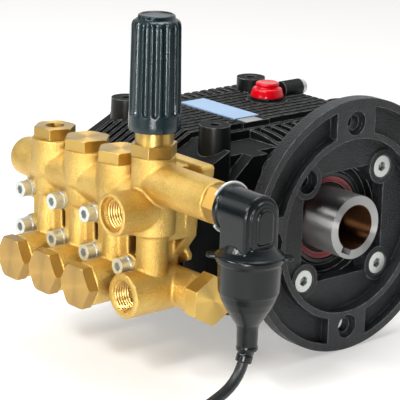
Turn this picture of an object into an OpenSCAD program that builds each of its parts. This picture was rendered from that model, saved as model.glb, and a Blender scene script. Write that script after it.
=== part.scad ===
// Triplex plunger pump for a pressure washer: finned crankcase, motor flange with hollow shaft,
// brass valve head, unloader with pressure knob, pressure switch with its lead.
// Frame: the origin is where the shaft axis meets the motor face of the flange.
// +X leaves the flange along the shaft, -Y points to the valve head, +Z is up. Millimetres.

/* [Drive shaft] */
// Bore of the hollow drive shaft
shaft_bore = 28; // [22:0.5:30]
// Outside diameter of the shaft at its drive end and in its bearings
shaft_d = 40; // [38:0.5:44]
// How far the shaft end stands out of the motor face
shaft_out = 3; // [1:0.5:8]
// Depth of the shaft bore
bore_depth = 56; // [40:1:60]
// Width of the keyway
key_w = 8; // [5:0.5:10]
// Depth of the keyway beyond the bore
key_rise = 3.3; // [2:0.1:4]
// Turn of the keyway from straight down towards the valve head, in degrees
key_turn = 25; // [0:5:60]

/* [Crank train] */
// Distance of the middle cylinder behind the motor face
mid_back = 99.5; // [97:0.5:106]
// Distance between cylinders
cyl_pitch = 33; // [32:0.5:36]
// Throw of each eccentric, half of the stroke
crank_throw = 5; // [3:0.5:6]
// Diameter of the eccentrics
ecc_d = 46; // [44:1:52]
// Width of each eccentric
ecc_w = 16; // [14:0.5:18]
// Width of the shaft shoulders beside the bearings
shoulder_w = 4.5; // [3:0.5:6]
// Wall of the rod's big end
big_wall = 5.5; // [4:0.5:8]
// Width of the rod's big end
rod_w = 15; // [12:0.5:16]
// Length of the rod between centres
rod_len = 48; // [46:0.5:54]
// Diameter of the wrist pins
pin_d = 12; // [10:0.5:14]
// Wall of the small-end bushes
bush_wall = 2.2; // [1.5:0.1:3]
// Wall of the rod's small end
small_wall = 3; // [2.5:0.5:5]
// Width of the rod's small end and shank
small_w = 9; // [7:0.5:10]
// Height of the rod's shank
shank_h = 15; // [10:1:20]
// Diameter of the plunger guides
guide_d = 28; // [25:0.5:29]
// Length of the round part of a plunger guide
guide_len = 22; // [18:1:30]
// Thickness of each arm of a plunger guide
arm_t = 4; // [3:0.5:5]
// Height of each arm of a plunger guide
arm_h = 17; // [16:0.5:20]
// Diameter of the ceramic plungers
plunger_d = 18; // [14:0.5:20]
// Length of the ceramic plungers
plunger_len = 36; // [30:1:40]

/* [Bearings and seals] */
// Outside diameter of the shaft bearings
bearing_d = 68; // [64:0.5:72]
// Width of the shaft bearings
bearing_w = 15; // [12:0.5:18]
// Diameter of the bearing balls
ball_d = 7.9; // [6:0.1:9]
// Number of balls in each bearing
ball_count = 9; // [7:1:12]
// Outside diameter of the shaft seal
seal_d = 60; // [54:0.5:62]
// Width of the shaft seal
seal_w = 8; // [6:0.5:10]
// Width of the plunger oil seals
oil_seal_w = 6; // [5:0.5:8]
// Radial width of the plunger oil seals
oil_seal_t = 4; // [3:0.1:4.8]

/* [Crankcase] */
// Height of the deck's plate above the shaft axis
deck_z = 49; // [48:0.5:54]
// Height of the cooling ribs
rib_h = 4; // [2:0.5:6]
// Thickness of the cooling ribs
rib_t = 2.8; // [2:0.1:4]
// Step from rib to rib
rib_step = 6; // [5:0.5:8]
// Half of the deck's size from front to back
deck_half = 66; // [64:0.5:70]
// Reach of the finned deck past the case on the cover side
deck_over = 5; // [3:0.5:8]
// Distance of the deck's drive-side edge behind the motor face
deck_edge = 73; // [68:0.5:80]
// Drop from the deck to the shoulder on the drive side
shoulder_drop = 6; // [4:0.5:8]
// Thickness of the case walls above and below the crank space
wall = 8; // [6:0.5:10]
// Reach of the finned deck past the case's back face
deck_lip = 6; // [5:0.5:8]
// Depth of the case's underside below the shaft axis
base_z = 58; // [54:0.5:62]
// Angle of the ribbed slope at the front of the deck
slope = 27; // [20:1:30]
// Height of the boss tops above the shaft axis
boss_z = 62; // [58:0.5:66]
// Diameter of the deck bosses
boss_d = 19; // [15:0.5:20]
// Distance of the front bosses from the shaft axis
boss_front = 65; // [60:0.5:68]
// Distance of the back bosses from the shaft axis
boss_back = 41; // [36:0.5:48]
// Distance between the bosses along the shaft
boss_span = 87; // [80:0.5:90]
// Core diameter of the tapped holes in the bosses and pads
tap_d = 6.8; // [5:0.1:8]
// Depth of the tapped holes in the bosses
tap_depth = 15; // [10:0.5:18]
// Diameter of the pads under the case
foot_d = 20; // [16:0.5:24]
// Height of the pads under the case
foot_h = 4; // [2:0.5:6]
// Distance of the pads from the shaft axis, front and back
foot_y = 46; // [40:0.5:50]
// Radius of the neck behind the motor flange
neck_r = 47; // [44:0.5:50]
// Thickness of the webs between the deck and the neck
web_t = 3; // [2.5:0.5:6]
// Number of webs between the deck and the neck
web_count = 6; // [3:1:6]
// Step from web to web
web_step = 8.8; // [8:0.2:10]

/* [Motor flange] */
// Outside diameter of the motor flange
flange_d = 160; // [156:1:170]
// Thickness of the flange's rim
flange_t = 9; // [8:0.5:12]
// Diameter of the bolt circle
bolt_circle = 130; // [128:0.5:134]
// Diameter of the bolt holes
bolt_hole = 9; // [7:0.5:10]
// Diameter of the spot face at each bolt hole
spot_d = 15; // [12:0.5:17]
// Depth of the spot face at each bolt hole
spot_depth = 3; // [1:0.5:4]
// Diameter of the recess for the motor's spigot
spigot_d = 110; // [108:0.5:112]
// Depth of the recess for the motor's spigot
spigot_depth = 8; // [5:0.5:10]
// Depth of the flange's hub behind the motor face
hub_back = 17; // [15:0.5:20]
// Depth of the pockets between the bolt pads
pocket_depth = 6; // [3:0.5:7]
// Width of each bolt pad
pad_w = 32; // [26:1:36]
// Half width of the square window round the shaft
window_half = 34; // [32:0.5:36]
// Circle of the screws that hold the flange to the neck
screw_circle = 89; // [86:0.5:92]
// Diameter of the bosses round those screws
screw_boss_d = 22; // [18:0.5:23]
// Head diameter of those screws
screw_head_d = 14; // [12:0.5:15]

/* [Covers] */
// Thickness of the side and back covers
cover_t = 6; // [5:0.5:8]
// Radius of the side cover
cover_r = 50; // [48:0.5:52]
// Circle of the side cover's screws
cover_circle = 88; // [86:0.5:90]
// Thread diameter of the cover screws
cover_screw_d = 5; // [4:0.5:6]
// Length of the cover screws under the head
cover_screw_len = 16; // [12:1:20]

/* [Valve head] */
// Distance of the upright valves in front of the joint with the crankcase
valve_ahead = 29; // [27:0.5:31]
// Depth of the suction valves below the plungers
suction_z = 25; // [24:0.5:28]
// Height of the discharge gallery above the plungers
gallery_z = 29; // [28:0.5:31]
// Distance of the suction gallery in front of the joint
suction_gallery_ahead = 12.5; // [11.5:0.5:14]
// Distance of the unloader column behind the motor face
unloader_back = 35.5; // [34:0.5:37]
// Outside radius of the upright valve bosses
valve_boss_r = 14; // [13:0.5:15]
// Outside radius of the suction valve barrels
barrel_r = 13.5; // [13:0.5:15]
// Radius of the valve pockets
pocket_r = 10.3; // [10:0.1:11]
// Height of a valve seat
seat_h = 6; // [5:0.5:7]
// Height of a valve cage
cage_h = 14; // [12:0.5:16]
// Radius of the hole through a valve seat
seat_hole_r = 6; // [5:0.1:6.4]
// Lift of a valve
valve_lift = 2; // [1:0.1:2.5]
// Length of the screwed part of a valve cap
cap_plug = 13; // [11:0.5:15]
// Height of a valve cap's hexagon
cap_hex = 7; // [5:0.5:9]
// Width across flats of the valve caps
cap_af = 25; // [24:0.5:27]
// Width across flats of the gauge cap
gauge_af = 23; // [22:0.5:25]
// Bore of the gauge port
gauge_bore = 11.4; // [9:0.1:12]
// Bore of the inlet port
inlet_bore = 18.6; // [16:0.1:20]
// Bore of the outlet port
outlet_bore = 18.6; // [16:0.1:19.4]
// Distance of the outlet's mouth in front of the joint
port_ahead = 60; // [58:0.5:62]
// Thread diameter of the head bolts
head_bolt_d = 6; // [5:0.5:6.5]
// Head diameter of the head bolts
head_bolt_head = 10; // [9:0.5:11]
// Height of the two bolt rows above and below the plungers
bolt_row = 12; // [11:0.5:13]
// Distance of the bolt seats in front of the joint
bolt_seat_ahead = 35; // [32:0.5:37]
// Grip of the head bolts in the crankcase
bolt_grip = 16; // [12:0.5:18]

/* [Unloader] */
// Height of the unloader column's top face
column_z = 57.5; // [56:0.5:59]
// Width across flats of the unloader's nut
stem_af = 24; // [22:0.5:26]
// Height of the unloader's nut
stem_nut_h = 7; // [5:0.5:9]
// Radius of the unloader's collar
stem_r = 11.2; // [10.5:0.1:11.6]
// Radius of the bore in the collar
stem_bore_r = 9; // [8:0.1:9.4]
// Height of the collar above its nut
stem_rise = 38; // [30:1:40]
// Gap between the nut and the knob
knob_gap = 8; // [5.5:0.5:9]
// Height of the pressure knob
knob_h = 67; // [62:1:76]
// Radius of the knob's skirt
knob_r = 15.3; // [14.5:0.1:17]
// Number of flutes round the knob
flutes = 16; // [10:1:18]
// Radius of each flute
flute_r = 1.7; // [1:0.1:2]

/* [Switch and lead] */
// Height of the switch tube above the shaft axis
tube_z = 42; // [41:0.5:43]
// Radius of the switch tube
tube_r = 12.3; // [12:0.1:13]
// How far the switch tube ends in front of the motor face
tube_out = 21.5; // [20:0.5:23]
// Travel of the switch pin
pin_travel = 1.5; // [1:0.1:2]
// Diameter of the lead
lead_d = 6.4; // [5.5:0.1:6.6]

/* [Hidden] */
$fn = 96;

// Clearances: a running fit, a seat that doesn't move, and a free gap
run = 0.05;
seat = 0.02;
gap = 0.5;

// Finishes
black_cast = "#2a2d2f";
flange_grey = "#34373a";
brass = "#d6a545";
bright_brass = "#e3b04b";
steel = "#b9bcc0";
zinc = "#d5d9da";
rubber = "#23282a";
ceramic = "#f0ead8";
red = "#e0122c";

// Places along the shaft
cyl_x = [for (i = [-1:1]) -mid_back + i * cyl_pitch];
phase = [0, 120, 240];
bolt_x = [for (i = [0:3]) -mid_back + (i - 1.5) * cyl_pitch];
bearing_r_x = cyl_x[2] + ecc_w / 2 + shoulder_w;
bearing_l_x = cyl_x[0] - ecc_w / 2 - shoulder_w - bearing_w;
seal_room = 9;
seal_x = bearing_r_x + bearing_w + seal_room;
shoulder_r = min(ecc_d / 2, shaft_d / 2 + 3);
cover_lip = 2;
case_l = bearing_l_x + cover_lip;
case_r = bearing_r_x + 6;
space_l = cyl_x[0] - ecc_w / 2 - shoulder_w / 2;
space_r = bearing_r_x - 1.5;
front_r = bolt_x[3] + 9;
unloader_x = -unloader_back;

// Places along the plungers, from the crank outwards
bush_in_r = pin_d / 2 + crank_throw + gap;
bush_out_r = bush_in_r + bush_wall;
small_r = bush_out_r + small_wall;
big_r = ecc_d / 2 + big_wall;
reach = small_r + gap;
space_front = -(rod_len + crank_throw + small_r + gap);
guide_back = crank_throw - rod_len - reach + 1;
joint_y = -(rod_len + crank_throw + reach + guide_len + 2 * gap + oil_seal_w);
valve_y = joint_y - valve_ahead;
suction_y = joint_y - suction_gallery_ahead;
port_y = joint_y - port_ahead;
inlet_y = port_y + 9.5;
outlet_z = gallery_z - 3;
thread_len = 12;
bolt_seat_y = joint_y - bolt_seat_ahead;
valve_stack = seat_h + cage_h + cap_plug;
seat_z = column_z - cap_hex - valve_stack - 3;
cap_z = seat_z + valve_stack;
barrel_y = valve_y - 26.5;
suction_seat_y = barrel_y + valve_stack;
packing_r = plunger_d / 2 + 4;
chamber_r = plunger_d / 2 + 1.5;
chamber_y = joint_y - 31;
passage_y = suction_seat_y - seat_h - 5;

// Heights of the crank space
space_top = deck_z - wall - 5;
space_bottom = -(base_z - wall);
slope_z = deck_z - (-joint_y - deck_half) * tan(slope);
floor_z = -flange_d / 2;
pad_z = -base_z - foot_h;
shoulder_z = deck_z - shoulder_drop;
back_y = deck_half - deck_lip;
boss_x = [-mid_back + 44 - boss_span, -mid_back + 44];
foot_x = [case_l + foot_d / 2 + 2, case_r - foot_d / 2 - 2];
neck_x = -hub_back;
screw_boss_len = 22;
hub_r = bolt_circle / 2 - 7;
screw_at = screw_circle / 2 * sin(45);
cover_at = cover_circle / 2 * sin(45);
filler_r = 7.5;
cap_r = 11;
cap_room = 2.5;
drain = [-mid_back, back_y - 28];
drain_r = 6;
level_boss = 16;
level = [-mid_back - 18.5, deck_half - rib_h];
filler = [-mid_back - 17, level.y - level_boss - cap_r - cap_room];
level_z = deck_z + rib_h + 4;
label_size = [54, 20];
label_at = [-mid_back - 12, -13.5];
back_cover_x = [case_l + 2, case_r - 1.5];
back_cover_z = [-base_z + 2, shoulder_z - 0.5];
back_screws = [
  for (x = [back_cover_x[0] + 6, -mid_back, back_cover_x[1] - 3.5])
    for (z = [back_cover_z[0] + 3, back_cover_z[1] - 3]) [x, z]
];

// Shapes placed along one axis
module box(a, b) { translate(a) cube(b - a); }
module along_x(at) { translate(at) rotate([0, 90, 0]) children(); }
module to_front(at) { translate(at) rotate([90, 0, 0]) children(); }
module slab_x(x, w) { translate([x, 0, 0]) rotate([90, 0, 90]) linear_extrude(w) children(); }
module slab_y(y, w) { translate([0, y, 0]) rotate([90, 0, 0]) linear_extrude(w) children(); }
module ring(r_out, r_in, h) {
  difference() {
    cylinder(r = r_out, h = h);
    translate([0, 0, -1]) cylinder(r = r_in, h = h + 2);
  }
}
module hex(af, h) { cylinder(r = af / 2 / cos(30), h = h, $fn = 6); }
module hex_cap(af, h) {
  intersection() {
    hex(af, h);
    rotate_extrude()
      polygon([[0, 0], [af * 0.6, 0], [af * 0.6, h - 1], [af * 0.54, h], [0, h]]);
  }
}
module quarter_turns(r) {
  for (a = [0:90:270]) rotate([a, 0, 0]) translate([0, r, 0]) rotate([0, 90, 0]) children();
}

// A wire or a lead: rings of points swept along a path, closed at both ends
function unit(v) = v / norm(v);
function tangent(p, i) = unit(p[min(i + 1, len(p) - 1)] - p[max(i - 1, 0)]);
function side_of(t) = abs(t.z) < 0.98 ? unit(cross(t, [0, 0, 1])) : unit(cross([1, 0, 0], t));
function tube_points(p, r, n) = [
  for (i = [0:len(p) - 1])
    let (t = tangent(p, i), s = side_of(t), u = cross(s, t))
      for (k = [0:n - 1]) p[i] + r * (cos(360 * k / n) * s + sin(360 * k / n) * u)
];
function tube_faces(m, n) = concat(
  [for (i = [0:m - 2], k = [0:n - 1]) [i * n + k, (i + 1) * n + k, (i + 1) * n + (k + 1) % n]],
  [for (i = [0:m - 2], k = [0:n - 1]) [i * n + k, (i + 1) * n + (k + 1) % n, i * n + (k + 1) % n]],
  [for (k = [1:n - 2]) [0, k, k + 1]],
  [for (k = [1:n - 2]) [(m - 1) * n, (m - 1) * n + k + 1, (m - 1) * n + k]]
);
module tube(path, r, n) { polyhedron(tube_points(path, r, n), tube_faces(len(path), n)); }
function helix(r, h, turns, steps) = [
  for (i = [0:turns * steps]) [r * cos(360 * i / steps), r * sin(360 * i / steps), h * i / (turns * steps)]
];

// Crankcase casting
module deck_rib(x) {
  low = 3;
  slab_x(x - rib_t / 2, rib_t) {
    polygon([
      [deck_half - rib_h, deck_z - low], [deck_half - rib_h, deck_z + rib_h],
      [-deck_half, deck_z + rib_h], [joint_y + 6, slope_z + 6 * tan(slope) + rib_h],
      [joint_y + 6, slope_z - low], [-deck_half, deck_z - low]
    ]);
    translate([deck_half - rib_h, deck_z]) circle(r = rib_h);
  }
}
module side_fin(y) {
  slab_y(y + rib_t / 2, rib_t) {
    polygon([
      [case_l - deck_over + rib_h, deck_z], [case_l - deck_over + rib_h, deck_z + rib_h],
      [case_l + 13, deck_z + rib_h], [case_l + 13, deck_z]
    ]);
    translate([case_l - deck_over + rib_h, deck_z]) circle(r = rib_h);
  }
}
module neck_web(y) {
  web_r = 100;
  slab_y(y + web_t / 2, web_t)
    polygon(concat(
      [for (a = [90:-4:58]) [-deck_edge - 3 + web_r * cos(a), deck_z - 0.6 - web_r + web_r * sin(a)]],
      [[neck_x - 6, 0], [-deck_edge - 3, 0]]
    ));
}
module case_body() {
  box([case_l, -deck_half, -base_z], [-deck_edge, back_y, deck_z]);
  box([-deck_edge - 1, -deck_half, -base_z], [case_r, back_y, shoulder_z]);
  box([case_l - deck_over + rib_h, -deck_half + 6, deck_z - 5], [-deck_edge, deck_half - rib_h, deck_z]);
  slab_x(case_l, front_r - case_l)
    polygon([
      [-deck_half + 1, deck_z - 0.5], [joint_y, slope_z], [joint_y, -suction_z - 13],
      [-deck_half + 1, -base_z + 6]
    ]);
  along_x([case_r - 3, 0, 0]) cylinder(r = neck_r, h = neck_x - case_r + 3);
  along_x([neck_x - 9, 0, 0]) cylinder(r = hub_r, h = 9);
  for (y = [-screw_at, screw_at], z = [-screw_at, screw_at])
    along_x([neck_x - screw_boss_len, y, z]) cylinder(d = screw_boss_d - 4, h = screw_boss_len);
  slab_x(case_r - 2, 11)
    polygon([[-36, shoulder_z], [-48, shoulder_z], [-70, 24], [-70, 12], [-36, 12]]);
  translate([level.x, level.y - level_boss, level_z]) rotate([-90, 0, 0]) cylinder(r = 5.6, h = level_boss);
  for (x = boss_x) {
    translate([x, -boss_front, 0]) cylinder(d1 = boss_d + 4, d2 = boss_d, h = boss_z);
    translate([x, boss_back, deck_z - 14]) cylinder(d = boss_d, h = boss_z - deck_z + 14);
  }
  for (x = foot_x, y = [-foot_y, foot_y])
    translate([x, y, pad_z]) cylinder(d = foot_d, h = foot_h + wall / 2);
}
module deck_ribs() {
  rib_first = case_l + 14;
  for (x = [rib_first:rib_step:-deck_edge - rib_t]) deck_rib(x);
  for (y = [-deck_half + 10:rib_step + 1:deck_half - 12]) side_fin(y);
  for (i = [0:web_count - 1]) neck_web(-19 + i * web_step);
  translate([label_at.x - label_size.x / 2 - 1, label_at.y - label_size.y / 2 - 1, deck_z - 1])
    cube([-deck_edge - label_at.x + label_size.x / 2 - 1, label_size.y + 2, rib_h + 1]);
  translate([filler.x, filler.y, deck_z - 1]) cylinder(r = filler_r + 6, h = rib_h + 1);
}
module case_bores() {
  box([space_l, space_front, space_bottom], [space_r, back_y + 1, space_top]);
  for (x = cyl_x) {
    to_front([x, guide_back, 0]) cylinder(r = guide_d / 2 + run, h = guide_back - joint_y - oil_seal_w);
    to_front([x, joint_y + oil_seal_w + 1, 0])
      cylinder(r = plunger_d / 2 + oil_seal_t, h = oil_seal_w + 2);
  }
  for (x = bolt_x, z = [-bolt_row, bolt_row])
    to_front([x, joint_y + bolt_grip + 2, z]) cylinder(d = head_bolt_d - 0.6, h = bolt_grip + 3);
  along_x([case_l - 1, 0, 0]) cylinder(r = bearing_d / 2 + 4, h = space_l - case_l + 2);
  along_x([space_r - 1, 0, 0])
    cylinder(r = bearing_d / 2 + seat, h = bearing_r_x + bearing_w + 1 - space_r);
  along_x([bearing_r_x + bearing_w - 1, 0, 0]) cylinder(r = (bearing_d + shaft_d) / 4, h = seal_room);
  along_x([seal_x - 2, 0, 0]) cylinder(r = seal_d / 2, h = seal_w + 2);
  along_x([seal_x + seal_w - 1, 0, 0]) cylinder(r = seal_d / 2 + 5, h = neck_x - seal_x - seal_w + 2);
  for (y = [-screw_at, screw_at], z = [-screw_at, screw_at])
    along_x([neck_x - 18, y, z]) cylinder(d = tap_d, h = 20);
  for (y = [-cover_at, cover_at], z = [-cover_at, cover_at])
    along_x([case_l - 1, y, z]) cylinder(d = cover_screw_d - 0.8, h = cover_screw_len - cover_t + 3);
  for (s = back_screws)
    to_front([s.x, back_y + 1, s.y]) cylinder(d = cover_screw_d - 0.8, h = cover_screw_len - cover_t + 3);
  for (x = boss_x, y = [-boss_front, boss_back])
    translate([x, y, boss_z - tap_depth]) cylinder(d = tap_d, h = tap_depth + 1);
  for (x = foot_x, y = [-foot_y, foot_y])
    translate([x, y, pad_z - 1]) cylinder(d = tap_d, h = foot_h + wall - 1);
  translate([filler.x, filler.y, space_top - 1]) cylinder(r = filler_r, h = deck_z - space_top + rib_h + 2);
  translate([drain.x, drain.y, -base_z - 1]) cylinder(r = drain_r, h = wall + 2);
  translate([level.x, level.y - 10, level_z]) rotate([-90, 0, 0]) cylinder(r = 3, h = 12);
  translate([level.x, level.y, level_z]) rotate([-90, 0, 0]) cylinder(r = 5.4 + gap, h = 8);
}
module crankcase() {
  color(black_cast)
    difference() {
      union() { case_body(); deck_ribs(); }
      case_bores();
    }
}

// Motor flange and its screws
module motor_flange() {
  color(flange_grey)
    difference() {
      union() {
        difference() {
          union() {
            along_x([-flange_t, 0, 0]) cylinder(d = flange_d, h = flange_t);
            along_x([neck_x, 0, 0]) cylinder(r = hub_r, h = hub_back - 1);
          }
          along_x([-spigot_depth, 0, 0]) cylinder(d = spigot_d, h = spigot_depth + 1);
          difference() {
            along_x([-pocket_depth, 0, 0]) ring(flange_d / 2 - 5, spigot_d / 2 + 4, pocket_depth + 1);
            for (a = [0:90:270])
              rotate([a, 0, 0]) box([-flange_t, 40, -pad_w / 2], [2, flange_d / 2, pad_w / 2]);
          }
          difference() {
            box([neck_x - 1, -window_half, -window_half], [1, window_half, window_half]);
            for (y = [-screw_at, screw_at], z = [-screw_at, screw_at])
              along_x([neck_x - 2, y, z]) cylinder(d = screw_boss_d, h = hub_back + 4);
          }
        }
        for (y = [-screw_at, screw_at], z = [-screw_at, screw_at])
          along_x([-spigot_depth - 1, y, z]) cylinder(d = screw_boss_d, h = 2);
      }
      quarter_turns(bolt_circle / 2) {
        translate([0, 0, -flange_t - 1]) cylinder(d = bolt_hole, h = flange_t + 2);
        translate([0, 0, -spot_depth]) cylinder(d = spot_d, h = spot_depth + 1);
      }
      for (y = [-screw_at, screw_at], z = [-screw_at, screw_at]) {
        along_x([neck_x - 1, y, z]) cylinder(d = tap_d + 1.6, h = hub_back);
        along_x([-spigot_depth - 4, y, z]) cylinder(d = screw_head_d + 0.8, h = 8);
      }
    }
}
module flange_screws() {
  color(zinc)
    for (p = [[1, 1], [1, -1], [-1, -1]])
      along_x([-spigot_depth - 4, p.x * screw_at, p.y * screw_at])
        difference() {
          union() {
            cylinder(d = screw_head_d, h = 4.6);
            translate([0, 0, -20]) cylinder(d = tap_d - 0.2, h = 21);
          }
          translate([0, 0, 2]) cylinder(r = 3.2, h = 4, $fn = 6);
        }
}

// Covers of the crank space
module side_cover() {
  color(black_cast)
    difference() {
      intersection() {
        union() {
          along_x([case_l - cover_t, 0, 0]) cylinder(r = cover_r, h = cover_t);
          along_x([case_l - cover_t - 4, 0, 0]) cylinder(r = bearing_d / 2 - 4, h = 6);
          along_x([case_l - 1, 0, 0]) cylinder(r = bearing_d / 2 + 4 - seat, h = space_l - case_l + 1);
        }
        box([case_l - 30, -cover_r, -cover_r], [space_l + 1, cover_r, deck_z - 6]);
      }
      along_x([bearing_l_x, 0, 0]) cylinder(r = bearing_d / 2 + seat, h = space_l - bearing_l_x + 1);
      along_x([bearing_l_x - 2, 0, 0]) cylinder(r = shaft_d / 2 + 3, h = 3);
      for (y = [-cover_at, cover_at], z = [-cover_at, cover_at])
        along_x([case_l - cover_t - 1, y, z]) cylinder(d = cover_screw_d + 0.6, h = cover_t + 2);
    }
}
module rear_cover() {
  color(black_cast)
    difference() {
      union() {
        box(
          [back_cover_x[0], back_y, back_cover_z[0]],
          [back_cover_x[1], back_y + cover_t, back_cover_z[1]]
        );
        box([space_l + gap, back_y - 3, space_bottom + gap], [space_r - gap, back_y + 1, space_top - gap]);
      }
      for (s = back_screws)
        to_front([s.x, back_y + cover_t + 1, s.y]) cylinder(d = cover_screw_d + 0.6, h = cover_t + 2);
    }
}
module cover_screw() {
  cylinder(d = cover_screw_d - 0.9, h = cover_screw_len);
  translate([0, 0, -cover_screw_d + 1])
    difference() {
      cylinder(d = cover_screw_d * 1.7, h = cover_screw_d - 1);
      translate([0, 0, -1]) cylinder(r = cover_screw_d * 0.45, h = 3, $fn = 6);
    }
}
module cover_screws() {
  color(zinc) {
    for (y = [-cover_at, cover_at], z = [-cover_at, cover_at])
      along_x([case_l - cover_t, y, z]) cover_screw();
    for (s = back_screws) to_front([s.x, back_y + cover_t, s.y]) cover_screw();
  }
}
module oil_plugs() {
  color(zinc) {
    translate([drain.x, drain.y, -base_z]) {
      translate([0, 0, -wall]) hex(2.8 * drain_r, wall);
      translate([0, 0, -1]) cylinder(r = drain_r - seat, h = wall);
    }
    translate([level.x, level.y, level_z])
      rotate([-90, 0, 0])
        difference() {
          union() {
            translate([0, 0, -9]) cylinder(r = 3 - seat, h = 10);
            cylinder(r = 5.4, h = 1.4);
            cylinder(r = 4.6, h = 3.8);
          }
          translate([0, 0, 1.6]) cylinder(r = 2.6, h = 3, $fn = 6);
        }
  }
}
module label_plate() {
  color("#a9c6e8")
    translate([label_at.x - label_size.x / 2, label_at.y - label_size.y / 2, deck_z + rib_h])
      cube([label_size.x, label_size.y, 0.8]);
}
module oil_cap() {
  color(red)
    translate([filler.x, filler.y, deck_z + rib_h])
      rotate_extrude()
        polygon([
          [0, -12], [filler_r - gap, -12], [filler_r - gap, 1.9], [cap_r, 1.9],
          [cap_r, 2.8], [cap_r - 1.2, 7], [cap_r - 2.2, 7.8],
          [6.9, 8], [6.9, 8.8], [7.7, 9.4], [7.5, 10.8], [6.6, 11.4], [0, 11.4]
        ]);
}
module oil_cap_gasket() {
  color("#151718")
    translate([filler.x, filler.y, deck_z + rib_h + 0.05]) ring(cap_r - 0.6, filler_r - gap + run, 1.8);
}

// Bearings and seals
module bearing_ring(r_out, r_in) {
  difference() {
    ring(r_out, r_in, bearing_w);
    translate([0, 0, bearing_w / 2])
      rotate_extrude() translate([(bearing_d + shaft_d) / 4, 0]) circle(r = ball_d / 2 + run);
  }
}
module bearing_pair() {
  for (x = [bearing_l_x, bearing_r_x]) along_x([x, 0, 0]) children();
}
module bearing_outer_rings() {
  color(steel) bearing_pair() bearing_ring(bearing_d / 2, (bearing_d + shaft_d) / 4 + ball_d / 3);
}
module bearing_inner_rings() {
  color(steel) bearing_pair() bearing_ring((bearing_d + shaft_d) / 4 - ball_d / 3, shaft_d / 2 + seat);
}
module bearing_balls() {
  color("#e6e8ea")
    for (x = [bearing_l_x, bearing_r_x], a = [0:360 / ball_count:359])
      rotate([a, 0, 0]) translate([x + bearing_w / 2, (bearing_d + shaft_d) / 4, 0]) sphere(d = ball_d);
}
module shaft_seal() {
  color("#9c3338") along_x([seal_x, 0, 0]) ring(seal_d / 2 - seat, shaft_d / 2 + run, seal_w);
}
module plunger_oil_seals() {
  color(rubber)
    for (x = cyl_x)
      to_front([x, joint_y + oil_seal_w, 0])
        ring(plunger_d / 2 + oil_seal_t - seat, plunger_d / 2 + run, oil_seal_w);
}

// Crank train
module crankshaft() {
  color(steel)
    difference() {
      union() {
        along_x([bearing_l_x + 1, 0, 0]) cylinder(d = shaft_d, h = bearing_w + shoulder_w - 1);
        along_x([bearing_l_x + bearing_w, 0, 0]) cylinder(r = shoulder_r, h = shoulder_w + 0.1);
        along_x([cyl_x[0], 0, 0]) cylinder(r = ecc_d / 2 - crank_throw - gap, h = 2 * cyl_pitch);
        along_x([bearing_r_x - shoulder_w - 0.1, 0, 0]) cylinder(r = shoulder_r, h = shoulder_w + 0.1);
        along_x([bearing_r_x - shoulder_w, 0, 0])
          cylinder(d = shaft_d, h = shaft_out - bearing_r_x + shoulder_w);
        for (i = [0:2])
          along_x([cyl_x[i] - ecc_w / 2, crank_throw * cos(phase[i]), crank_throw * sin(phase[i])])
            cylinder(d = ecc_d, h = ecc_w);
      }
      along_x([shaft_out - bore_depth, 0, 0]) cylinder(d = shaft_bore, h = bore_depth + 1);
      rotate([-key_turn, 0, 0])
        box(
          [shaft_out - bore_depth, -key_w / 2, -shaft_bore / 2 - key_rise],
          [shaft_out + 1, key_w / 2, 0]
        );
    }
}
module rod(i) {
  color("#9aa0a5")
    translate([cyl_x[i], crank_throw * cos(phase[i]), crank_throw * sin(phase[i])])
      difference() {
        union() {
          along_x([-rod_w / 2, 0, 0]) cylinder(r = big_r, h = rod_w);
          along_x([-small_w / 2, -rod_len, 0]) cylinder(r = small_r, h = small_w);
          box([-small_w / 2, -rod_len, -shank_h / 2], [small_w / 2, 0, shank_h / 2]);
        }
        along_x([-rod_w, 0, 0]) cylinder(r = ecc_d / 2 + run, h = 2 * rod_w);
        along_x([-rod_w, -rod_len, 0]) cylinder(r = bush_out_r + run, h = 2 * rod_w);
      }
}
module small_end_bush(i) {
  color("#b87f43")
    along_x([cyl_x[i] - small_w / 2, crank_throw * cos(phase[i]) - rod_len, crank_throw * sin(phase[i])])
      ring(bush_out_r, bush_in_r, small_w);
}
module at_pin(i) { translate([cyl_x[i], crank_throw * cos(phase[i]) - rod_len, 0]) children(); }
pin_half = small_w / 2 + gap + arm_t;
module wrist_pin(i) {
  color(steel) at_pin(i) along_x([-pin_half, 0, 0]) cylinder(d = pin_d, h = 2 * pin_half);
}
module plunger_guide(i) {
  color("#8d9398")
    at_pin(i)
      difference() {
        union() {
          to_front([0, -reach, 0]) cylinder(d = guide_d, h = guide_len);
          for (x = [-pin_half, small_w / 2 + gap]) {
            box([x, -reach - 1, -arm_h / 2], [x + arm_t, 0, arm_h / 2]);
            along_x([x, 0, 0]) cylinder(d = arm_h, h = arm_t);
          }
        }
        along_x([-pin_half - 1, 0, 0]) cylinder(d = pin_d + 2 * run, h = 2 * pin_half + 2);
      }
}
module plunger(i) {
  color(ceramic)
    at_pin(i)
      to_front([0, -reach - guide_len, 0])
        rotate_extrude()
          polygon([
            [0, 0], [plunger_d / 2, 0], [plunger_d / 2, plunger_len - 1], [plunger_d / 2 - 1, plunger_len],
            [0, plunger_len]
          ]);
}

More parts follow.
